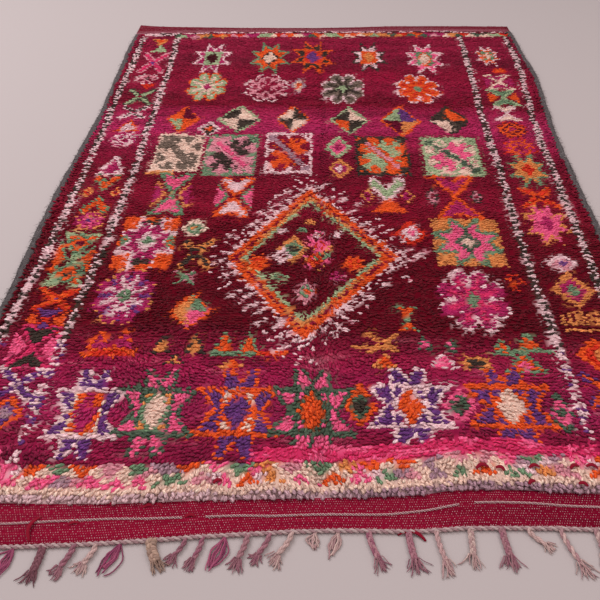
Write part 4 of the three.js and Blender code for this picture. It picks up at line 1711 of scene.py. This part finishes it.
@dataclass
class EndCord:
    """The two-ply cord along the near woven edge, and the white twined line woven into the near band."""

    outline: Outline
    strand: float = 0.0062
    radius: float = 0.0024
    pitch: float = 0.0250
    step: float = 0.0030
    inset: float = 0.004
    dyes: tuple[str, str] = ("#BFA3A2", "#A98488")
    twining_strand: float = 0.0023
    twining_radius: float = 0.0019
    twining_pitch: float = 0.0120
    twining_dyes: tuple[str, str] = ("#DDB9B6", "#C796A0")
    twining_breaks: tuple[tuple[float, float], ...] = ((-0.290, -0.240), (0.310, 0.345))

    def cord(self) -> bpy.types.Object:
        """Make the end cord.

        Returns:
            The piece.
        """
        start, end = -SIDES["left"][0] + self.inset / 2, SIDES["right"][0] - self.inset / 2
        u = np.linspace(start, end, round((end - start) / self.step))
        v = self.outline.near(u) - self.outline.gap - self.outline.cord_width / 2
        v = v + 0.0006 * ripple(u, 0.05, 4)
        line = np.stack([u, v, np.full(len(u), self.strand * 0.7)], -1)
        line += self.outline.shift()
        path = twisted(line, self.radius, self.pitch, 2)
        size = self.strand * (1 + 0.10 * ripple(u, 0.02, 6))
        size = np.repeat(size[None], 2, 0)
        surface = Surface()
        tone = np.array([linear(code) for code in self.dyes])
        Strands(path, size, size * 0.94, 7).add_to(surface, tone, folds=14, turns=len(u) / 4)
        return surface.to_object("end_cord")

    def twining(self) -> bpy.types.Object:
        """Make the twined line, in three stretches that lie on the near band.

        Returns:
            The piece.
        """
        gaps = self.twining_breaks
        starts = (-SIDES["left"][0] + self.inset, gaps[0][1], gaps[1][1])
        ends = (gaps[0][0], gaps[1][0], SIDES["right"][0] - self.inset)
        tone = np.array([linear(code) for code in self.twining_dyes])
        surface = Surface()
        for start, end in zip(starts, ends):
            u = np.linspace(start, end, round((end - start) / self.twining_pitch * 6))
            v = self.outline.near_pile(u) - follow(TWINED, "u", "back", u) + 0.0012 * ripple(u, 0.09, 7)
            z = np.full(len(u), self.outline.band_height + self.twining_radius * 0.6)
            line = np.stack([u, v, z], -1) + self.outline.shift()
            path = twisted(line, self.twining_radius, self.twining_pitch, 2)
            size = np.full(path.shape[:2], self.twining_strand)
            Strands(path, size, size, 4).add_to(surface, tone, folds=8, turns=len(u) / 3)
        return surface.to_object("twined_line")


@dataclass
class Tassels:
    """The warp ends beyond the cord: plaited, twisted or left loose, and frayed at their tips."""

    outline: Outline
    frayed_share: float = 0.36
    rings: int = 24
    plait_pitch: float = 0.036
    twist_pitch: float = 0.030
    strand: float = 0.0078
    loose_yarns: int = 14
    loose_strand: float = 0.0031
    ends: int = 22
    end_strand: float = 0.0027
    surface: Surface = field(default_factory=Surface)
    chances: np.random.Generator = field(default_factory=lambda: np.random.default_rng(60))

    def tones(self, index: Array) -> Array:
        """Pick a colour for each strand, between the two dyes of its tassel.

        Args:
            index: each strand's tassel.

        Returns:
            Linear red, green and blue, a row for each strand.
        """
        pairs = np.array([[linear(code) for code in DYES[TASSEL_DYES[number]]] for number in index])
        share = np.round(self.chances.uniform(0, 1, (len(index), 1)) * 3) / 3
        return mix(pairs[:, 0], pairs[:, 1], share) * self.chances.uniform(0.85, 1.15, (len(index), 1))

    def place(self, index: Array, share: Array) -> tuple[Array, Array, Array]:
        """Where a tassel's middle line is, and its heading.

        Sideways it sways by the share to the power 1.5, and it runs evenly away from the rug.

        Args:
            index: the tassels' numbers.
            share: places along them, from 0 at the cord to 1 at the tip, a row for each tassel.

        Returns:
            u and v of the middle line, and the angle that it has turned sideways by.
        """
        u, reach, sway = (TASSELS[name][index][:, None] for name in ("u", "reach", "sway"))
        root = self.outline.near(u) - self.outline.gap - self.outline.cord_width
        positive = np.maximum(share, 0)
        along = reach - self.outline.cord_width
        heading = np.arctan(1.5 * sway * np.sqrt(positive) / reach)
        return u + sway * positive**1.5, root - along * share, heading

    def bodies(self, index: Array, make: Make) -> None:
        """Add the plaited or twisted part of some tassels.

        A plait's strand swings sideways by a sine and up and down by the sine of twice its angle; a twisted
        one goes round by a cosine and a sine.

        Args:
            index: the tassels' numbers.
            make: how they are made.
        """
        plies = 3 if make is Make.PLAIT else 2
        share = np.linspace(-0.10, 1 - self.frayed_share + 0.02, self.rings)
        share = np.broadcast_to(share, (len(index), self.rings))
        u, v, heading = self.place(index, share)
        reach, thick = TASSELS["reach"][index][:, None], TASSELS["thick"][index][:, None]
        pitch = self.plait_pitch if make is Make.PLAIT else self.twist_pitch
        size = self.strand * thick * (0.86 if make is Make.PLAIT else 1.0)
        start = self.chances.uniform(0, 1, (len(index), 1))
        paths, sizes, tones = [], [], []
        for ply in range(plies):
            angle = TAU * (share * reach / pitch * 0.9 + ply / plies + start)
            if make is Make.PLAIT:
                aside, up = 0.62 * size * np.sin(angle), 0.22 * size * np.sin(2 * angle)
                middle = 0.62 * size
            else:
                aside, up = 0.40 * size * np.cos(angle), 0.30 * size * np.sin(angle)
                middle = 0.70 * size
            level = (u + aside * np.cos(heading), v + aside * np.sin(heading))
            paths.append(np.stack([*level, middle + up], -1))
            sizes.append(size * (1 + 0.08 * self.chances.normal(size=share.shape)))
            tones.append(self.tones(index))
        path = np.concatenate(paths) + self.outline.shift()
        size = np.concatenate(sizes)
        Strands(path, size, size * 0.80, 6).add_to(self.surface, np.concatenate(tones), turns=6, seed=plies)

    def frayed(self, index: Array) -> None:
        """Add the loose ends of some tassels: each fans out of the tassel's end and sinks to the floor.

        Args:
            index: the tassels' numbers.
        """
        index = np.repeat(index, self.ends)
        count = len(index)
        u, v, heading = (part[:, 0] for part in self.place(index, np.full((count, 1), 1 - self.frayed_share)))
        thick = TASSELS["thick"][index]
        fan = self.chances.normal(size=count) * 0.27
        aside = fan * 0.012 * thick + self.chances.uniform(-1, 1, count) * 0.0046 * thick
        t = np.linspace(0, 1, 7)
        length = TASSELS["reach"][index] * self.frayed_share * self.chances.uniform(0.55, 1.18, count)
        turned = (heading + fan)[:, None] + 0.22 * self.chances.normal(size=(count, 1)) * t
        wave = 0.0012 * np.sin(TAU * (t * 1.4 + self.chances.uniform(size=(count, 1)))) * t
        run = t * length[:, None]
        lift = (self.chances.uniform(0.0012, 0.0056, count) * thick)[:, None]
        path = np.stack([
            (u + aside * np.cos(heading))[:, None] + run * np.sin(turned) + wave * np.cos(turned),
            (v + aside * np.sin(heading))[:, None] - run * np.cos(turned) + wave * np.sin(turned),
            self.end_strand * 0.55 + lift * (1 - t) ** 1.3,
        ], -1) + self.outline.shift()
        size = self.end_strand * self.chances.uniform(0.75, 1.3, count)[:, None] * (1 - 0.25 * t)
        tone = self.tones(index)
        Strands(path, size, size, 4, is_pointed=True).add_to(self.surface, tone, turns=3, seed=9)

    def loose(self, index: Array) -> None:
        """Add the tassels whose yarns were never plaited: a wavy skein each, some of it in wide bows.

        Args:
            index: the tassels' numbers.
        """
        index = np.repeat(index, self.loose_yarns)
        count = len(index)
        t = np.linspace(-0.08, 1, 18)
        share = t[None] * self.chances.uniform(0.72, 1.12, (count, 1))
        u, v, heading = self.place(index, share)
        bow = self.chances.normal(size=(count, 1)) * 0.0085
        inside = np.clip(t, 0, 1)
        aside = bow * np.sin(math.pi * inside)
        aside = aside + 0.0011 * np.sin(TAU * (2.2 * t + self.chances.uniform(size=(count, 1))))
        aside = aside + self.chances.normal(size=(count, 1)) * 0.0036 * np.clip(t + 0.3, 0, 1)
        lift = self.loose_strand * 0.55 + self.chances.uniform(0, 0.0030, (count, 1)) * (1 - 0.7 * inside)
        path = np.stack([u + aside * np.cos(heading), v + aside * np.sin(heading), lift + 0 * u], -1)
        path += self.outline.shift()
        size = self.loose_strand * self.chances.uniform(0.8, 1.25, (count, 1)) * np.ones(len(t))
        tone = self.tones(index)
        Strands(path, size, size, 4, is_pointed=True).add_to(self.surface, tone, turns=8, seed=5)

    def build(self) -> bpy.types.Object:
        """Make all the tassels.

        Returns:
            The piece.
        """
        makes = np.array(list(TASSEL_MAKES))
        for make in (Make.PLAIT, Make.TWIST):
            self.bodies(np.flatnonzero(makes == make.value), make)
        self.frayed(np.flatnonzero(makes != Make.LOOSE.value))
        self.loose(np.flatnonzero(makes == Make.LOOSE.value))
        return self.surface.to_object("tassels")


@dataclass
class RagEnds:
    """Short ends of crimson rag, knotted into the pile's near part and the near band."""

    outline: Outline
    width: float = 0.0105
    thick: float = 0.0018
    rings: int = 13
    dye: str = "#8A0F28"
    places: tuple[tuple[float, float, float, float], ...] = (
        (-0.598, -1.410, 1.45, 0.062), (-0.520, -1.396, 0.20, 0.022), (-0.453, -1.347, -0.5, 0.016),
        (-0.370, -1.350, 0.3, 0.022), (-0.344, -1.347, -0.7, 0.014), (-0.274, -1.372, 0.1, 0.024),
        (0.200, -1.408, -0.22, 0.060), (0.373, -1.236, 0.2, 0.030), (0.413, -1.237, -0.4, 0.020),
        (0.491, -1.232, 0.1, 0.024), (0.582, -1.230, 0.3, 0.022), (0.621, -1.229, -0.2, 0.026),
        (0.478, -1.273, 0.5, 0.018), (0.589, -1.277, -0.3, 0.020), (-0.222, -1.290, 0.4, 0.020),
        (-0.361, -1.430, 0.8, 0.018), (-0.037, -1.366, 0.0, 0.016), (-0.730, -1.400, 0.4, 0.024),
    )

    def build(self) -> bpy.types.Object:
        """Make the rag ends: flat strips that start in the weave, arch up and lie down again.

        Returns:
            The piece.
        """
        u, v, turn, length = (part[:, None] for part in np.array(self.places).T)
        t = np.linspace(0, 1, self.rings)
        on_pile = ease(-0.004, 0.012, v - self.outline.near_pile(u))
        foot = mix(self.outline.band_height, self.outline.height(u, v) - 0.001, on_pile)
        foot = np.where(v < self.outline.near(u), self.thick, foot)
        arch = mix(0.10, 0.16, on_pile) * length
        bend = 0.22 * length * np.sin(math.pi * t)
        path = np.stack([
            u + (t - 0.5) * length * np.cos(turn) - bend * np.sin(turn),
            v + (t - 0.5) * length * np.sin(turn) + bend * np.cos(turn),
            foot - 0.0008 + arch * np.sin(math.pi * t) ** 0.7,
        ], -1) + self.outline.shift()
        width = self.width * (0.55 + 0.45 * np.sin(math.pi * t)) * np.ones_like(u)
        tone = np.repeat(linear(self.dye)[None], len(u), 0)
        surface = Surface()
        Strands(path, width, np.full(width.shape, self.thick), 6).add_to(surface, tone, turns=4)
        return surface.to_object("rag_ends")


@dataclass
class CutWarps:
    """The short cut warp ends that stand out of the far woven edge."""

    outline: Outline
    count: int = 190
    reach: float = 0.010
    strand: float = 0.0020
    dyes: tuple[str, str] = ("#7A1830", "#A05868")
    seed: int = 71

    def build(self) -> bpy.types.Object:
        """Make the cut ends: each starts just inside the far edge and points away from the rug.

        Returns:
            The piece.
        """
        chances = np.random.default_rng(self.seed)
        u = np.sort(chances.uniform(-SIDES["left"][-1], SIDES["right"][-1], self.count))[:, None]
        t = np.linspace(0, 1, 5)
        length = self.reach * chances.uniform(0.3, 1.25, (self.count, 1))
        lean = 0.45 * chances.normal(size=(self.count, 1))
        path = np.stack([
            u + length * lean * t, self.outline.far(u) - 0.002 + length * t,
            self.outline.band_height * 0.6 + 0.0008 * np.sin(3 * t) * np.ones_like(u),
        ], -1) + self.outline.shift()
        size = self.strand * (1 - 0.3 * t) * np.ones_like(u)
        dyes = np.array([linear(code) for code in self.dyes])
        tone = dyes[(chances.uniform(size=self.count) > 0.75).astype(int)]
        surface = Surface()
        Strands(path, size, size, 4, is_pointed=True).add_to(surface, tone, turns=2)
        return surface.to_object("cut_warps")


class Wire:
    """One value in a material, written as an expression: each operator adds its Math node."""

    def __init__(self, pot: "Dyepot", socket: bpy.types.NodeSocket) -> None:
        """Keep the material's builder and the socket that the value comes out of."""
        self.pot = pot
        self.socket = socket

    def math(self, operation: str, *others: "Wire | float") -> "Wire":
        """Add a Math node with this value first.

        Args:
            operation: the node's operation.
            others: its further values.

        Returns:
            The node's result.
        """
        return self.pot.node("ShaderNodeMath", {"operation": operation}, dict(enumerate((self, *others))))

    def __add__(self, other: "Wire | float") -> "Wire":
        """This plus the other."""
        return self.math("ADD", other)

    def __sub__(self, other: "Wire | float") -> "Wire":
        """This minus the other."""
        return self.math("SUBTRACT", other)

    def __mul__(self, other: "Wire | float") -> "Wire":
        """This times the other."""
        return self.math("MULTIPLY", other)

    def __truediv__(self, other: "Wire | float") -> "Wire":
        """This by the other."""
        return self.math("DIVIDE", other)

    def __rsub__(self, other: float) -> "Wire":
        """The number minus this."""
        return self.math("MULTIPLY", -1.0).math("ADD", other)

    def clamp(self) -> "Wire":
        """This kept between 0 and 1."""
        return self.math("MINIMUM", 1.0).math("MAXIMUM", 0.0)

    def wave(self) -> "Wire":
        """The sine of this many turns, from 0 to 1."""
        return self.math("MULTIPLY", TAU).math("SINE").math("MULTIPLY_ADD", 0.5, 0.5)


class Dyepot:
    """Builds one material's nodes."""

    def __init__(self, name: str) -> None:
        """Start an empty material.

        Args:
            name: the material's name.
        """
        self.material = bpy.data.materials.new(name)
        self.material.use_nodes = True
        self.tree = self.material.node_tree
        self.tree.nodes.clear()

    def node(self, kind: str, settings: dict, values: dict, output: int | str = 0) -> Wire:
        """Add a node.

        Args:
            kind: its type.
            settings: its own settings, which are set first.
            values: numbers, colours or wires for its sockets, by name or number.
            output: which of its results is wanted.

        Returns:
            That result.
        """
        made = self.tree.nodes.new(kind)
        for name, value in settings.items():
            setattr(made, name, value)
        for key, value in values.items():
            if isinstance(value, Wire):
                self.tree.links.new(value.socket, made.inputs[key])
            else:
                made.inputs[key].default_value = value
        return Wire(self, made.outputs[output])

    def attribute(self, name: str, output: str) -> Wire:
        """What is painted on the piece's points under a name."""
        return self.node("ShaderNodeAttribute", {"attribute_name": name}, {}, output)

    def parts(self, vector: Wire) -> tuple[Wire, Wire, Wire]:
        """The three numbers of a vector."""
        whole = self.node("ShaderNodeSeparateXYZ", {}, {0: vector})
        return tuple(Wire(self, socket) for socket in whole.socket.node.outputs)

    def joined(self, x: Wire | float, y: Wire | float, z: Wire | float) -> Wire:
        """Three numbers as a vector."""
        return self.node("ShaderNodeCombineXYZ", {}, {0: x, 1: y, 2: z})

    def noise(self, vector: Wire, scale: float, detail: float = 2.0) -> Wire:
        """Smooth noise from 0 to 1."""
        return self.node("ShaderNodeTexNoise", {}, {"Vector": vector, "Scale": scale, "Detail": detail})

    def scaled(self, colour: Wire, by: Wire) -> Wire:
        """A colour times a number."""
        return self.node("ShaderNodeVectorMath", {"operation": "SCALE"}, {0: colour, "Scale": by})

    def blended(self, share: Wire, first: Wire | tuple, second: Wire | tuple) -> Wire:
        """A colour between two, by a share from 0 to 1."""
        return self.node("ShaderNodeMix", {"data_type": "RGBA"}, {0: share, 6: first, 7: second}, 2)

    def close(self, colour: Wire, height: Wire, relief: float, constants: dict) -> bpy.types.Material:
        """Give the material its shader.

        Args:
            colour: the base colour.
            height: the small relief, from 0 to 1.
            relief: how deep that relief is, in metres.
            constants: the shader's other sockets, which are the same all over.

        Returns:
            The finished material.
        """
        bump = self.node("ShaderNodeBump", {}, {"Height": height, "Distance": relief, "Strength": 1.0})
        values = {"Base Color": colour, "Normal": bump, **constants}
        shader = self.node("ShaderNodeBsdfPrincipled", {}, values)
        end = self.tree.nodes.new("ShaderNodeOutputMaterial")
        self.tree.links.new(shader.socket, end.inputs["Surface"])
        return self.material


@dataclass(frozen=True)
class YarnFinish:
    """A spun yarn: fibres along it, the ridges of its plies, and a dull, slightly downy surface."""

    name: str
    slot: str
    fine: float = 2.2
    long: float = 3.0
    contrast: float = 0.5
    relief: float = 0.0006
    plies: int = 0
    ply_turns: float = 4.0
    ply_share: float = 0.6
    roughness: float = 0.9
    down: float = 0.04

    def build(self) -> bpy.types.Material:
        """Make the material.

        The fibres are noise stretched along the yarn, the plies a sine wave of the angle around it plus its
        length. Both darken the yarn's tone in their hollows: the fibres' part is the wool's own unevenness,
        the plies' part is painted shade between the plies.

        Returns:
            The material, for pieces with the tone and grain of a strand.
        """
        pot = Dyepot(self.name)
        right, up, along = pot.parts(pot.attribute("grain", "Vector"))
        height = pot.noise(pot.joined(right * self.fine, up * self.fine, along * self.long), 1.0)
        if self.plies:
            turn = up.math("ARCTAN2", right) * (self.plies / TAU)
            ply = (turn + along * self.ply_turns).wave()
            height = height * (1 - self.ply_share) + ply * self.ply_share
        # Painted shade in the hollows between the plies, over the fibres' own unevenness
        light = height * self.contrast + (1 - self.contrast / 2)
        tone = pot.scaled(pot.attribute("tone", "Color"), light)
        constants = {"Roughness": self.roughness, "Sheen Weight": self.down, "Specular IOR Level": 0.12}
        return pot.close(tone, height, self.relief, constants)


@dataclass(frozen=True)
class WeaveFinish:
    """The flat weave: weft across it, and pale warp that shows as short flecks in every other gap."""

    name: str
    slot: str
    fleck_pitch: float = 0.0052
    row_pitch: float = 0.0058
    fleck_width: float = 0.0010
    fleck_height: float = 0.0013
    fleck_colour: str = "#D9B4B8"
    fleck_share: float = 0.8
    patch_scale: float = 150.0
    patch_level: float = 0.44
    patch_steepness: float = 7.0
    weft_across: float = 90.0
    weft_along: float = 620.0
    contrast: float = 0.55
    relief: float = 0.0007
    roughness: float = 0.92
    gloss: float = 0.03

    def build(self) -> bpy.types.Material:
        """Make the material.

        A fleck is an oval at the middle of its cell, and every other row of cells is moved half a cell on.
        Noise leaves some of them out. The weft is noise stretched across the rug.

        Returns:
            The material, for the ground weave.
        """
        pot = Dyepot(self.name)
        across, edge, band = pot.parts(pot.attribute("grain", "Vector"))
        row = edge / self.row_pitch
        cell = across / self.fleck_pitch + row.math("FLOOR") * 0.5
        off = (cell.math("FRACT") - 0.5) * (self.fleck_pitch / self.fleck_width)
        rise = (row.math("FRACT") - 0.5) * (self.row_pitch / self.fleck_height)
        inside = ((1 - off * off - rise * rise) * 2.0).clamp()
        patches = pot.noise(pot.joined(across, edge, 0.0), self.patch_scale)
        shown = ((patches - self.patch_level) * self.patch_steepness).clamp()
        fleck = inside * shown * band
        weft = pot.noise(pot.joined(across * self.weft_across, edge * self.weft_along, 0.0), 1.0)
        light = weft * self.contrast + (1 - self.contrast / 2)
        tone = pot.scaled(pot.attribute("tone", "Color"), light)
        pale = (*linear(self.fleck_colour), 1.0)
        colour = pot.blended(fleck * self.fleck_share, tone, pale)
        height = weft * 0.5 + fleck * 0.5
        constants = {"Roughness": self.roughness, "Specular IOR Level": self.gloss}
        return pot.close(colour, height, self.relief, constants)


PILE_WOOL = YarnFinish(
    "pile_wool", "wool_pile", fine=2.6, long=5.0, plies=2, ply_turns=2.2, contrast=0.75, relief=0.0011,
)
FLAT_WEAVE = WeaveFinish("flat_weave", "wool_pile")
RAG_CLOTH = YarnFinish("rag_cloth", "wool_pile", fine=4.0, long=9.0, contrast=0.3, relief=0.0002)
HAIR = YarnFinish("hair_yarn", "goat_hair", fine=3.0, long=14.0, contrast=0.9, relief=0.0007, roughness=0.8)
CORD_YARN = YarnFinish("cord_yarn", "warp_yarn", plies=3, ply_turns=1.6, contrast=0.55, relief=0.0006)
TASSEL_YARN = YarnFinish("tassel_yarn", "warp_yarn", plies=3, ply_turns=1.4, contrast=0.55, relief=0.0005)


@dataclass
class Studio:
    """The plain floor, the soft light and the camera."""

    outline: Outline
    floor_size: float = 14.0
    floor_drop: float = 0.0006
    floor_colour: str = "#C0B2B2"
    sky: float = 0.50
    sky_tint: tuple[float, float, float] = (1.0, 0.98, 0.97)
    lamp_size: float = 3.4
    lens: float = 44.4
    eye: tuple[float, float, float] = (-0.01235, -2.25529, 1.408)
    tilt: float = 48.705
    heading: float = 1.570

    def floor(self) -> bpy.types.Object:
        """Make the floor, just under the rug.

        Returns:
            The floor.
        """
        half = self.floor_size / 2
        corners = [(x * half, y * half, -self.floor_drop) for x, y in ((-1, -1), (1, -1), (1, 1), (-1, 1))]
        mesh = bpy.data.meshes.new("floor")
        mesh.from_pydata(corners, [], [(0, 1, 2, 3)])
        paint = bpy.data.materials.new("floor_paint")
        paint.use_nodes = True
        shader = paint.node_tree.nodes["Principled BSDF"]
        shader.inputs["Base Color"].default_value = (*linear(self.floor_colour), 1.0)
        shader.inputs["Roughness"].default_value = 0.75
        shader.inputs["Specular IOR Level"].default_value = 0.2
        mesh.materials.append(paint)
        return placed("floor", mesh)

    def lamp(self, name: str, place: tuple[float, float, float], power: float, tint: str) -> None:
        """Hang a square soft lamp that shines at the rug's middle.

        Args:
            name: its name.
            place: where it hangs.
            power: how strong it is, in watts.
            tint: its colour.
        """
        light = bpy.data.lights.new(name, "AREA")
        light.size = self.lamp_size
        light.energy = power
        light.color = linear(tint)
        lamp = placed(name, light)
        lamp.location = place
        lamp.rotation_euler = (-Vector(place)).to_track_quat("-Z", "Y").to_euler()

    def camera(self) -> None:
        """Set the camera up where the photograph was taken from."""
        view = bpy.data.cameras.new("camera")
        view.lens = self.lens
        camera = placed("camera", view)
        camera.location = np.array(self.eye) + self.outline.shift()
        camera.rotation_euler = (math.radians(self.tilt), 0.0, math.radians(self.heading))
        bpy.context.scene.camera = camera

    def build(self) -> None:
        """Set up the floor, the sky, the lamps and the camera."""
        self.floor()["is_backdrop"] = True
        world = bpy.data.worlds.new("soft_sky")
        world.use_nodes = True
        sky = world.node_tree.nodes["Background"]
        sky.inputs["Color"].default_value = (*self.sky_tint, 1.0)
        sky.inputs["Strength"].default_value = self.sky
        bpy.context.scene.world = world
        bpy.context.scene.view_settings.view_transform = "Standard"
        self.lamp("window", (-3.6, 1.4, 4.4), 190.0, "#FFFFFF")
        self.lamp("fill", (3.2, -1.6, 4.4), 70.0, "#FFF4F0")
        self.camera()


def dress(
    piece: bpy.types.Object, finish: YarnFinish | WeaveFinish, nodes: Sequence[str] = (),
) -> bpy.types.Object:
    """Give a piece its material and tell the frame about it.

    Args:
        piece: the piece.
        finish: what it is made of.
        nodes: the solids that it stands for.

    Returns:
        The piece.
    """
    material = bpy.data.materials.get(finish.name) or finish.build()
    piece.data.materials.append(material)
    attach(piece, BODY)
    if nodes:
        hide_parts(*nodes)
    return piece


def main() -> None:
    """Build the rug piece by piece, then the floor, the light and the camera."""
    logging.basicConfig(level=logging.INFO, format="%(name)s: %(message)s")
    outline = Outline()
    chart = Chart(outline)
    cords = EndCord(outline)
    ground = dress(GroundWeave(outline, chart).build(), FLAT_WEAVE, ["rug_body"])
    others = [dress(strip, PILE_WOOL) for strip in Pile(outline, chart).build()]
    others += [
        dress(Selvedge(outline, -1).build(), HAIR, ["selvedge_left"]),
        dress(Selvedge(outline, 1).build(), HAIR, ["selvedge_right"]),
        dress(cords.cord(), CORD_YARN, ["fringe_near"]),
        dress(Tassels(outline).build(), TASSEL_YARN, ["fringe_near"]),
        dress(cords.twining(), CORD_YARN),
        dress(RagEnds(outline).build(), RAG_CLOTH),
        dress(CutWarps(outline).build(), TASSEL_YARN),
    ]
    Studio(outline).build()
    boxes = {"cad": CAD_BOX, "visual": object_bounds()}
    for name, (low, high) in boxes.items():
        log.info("%s box, mm: %s", name, " ".join(f"{1000 * (b - a):.1f}" for a, b in zip(low, high)))


if __name__ == "__main__":
    main()
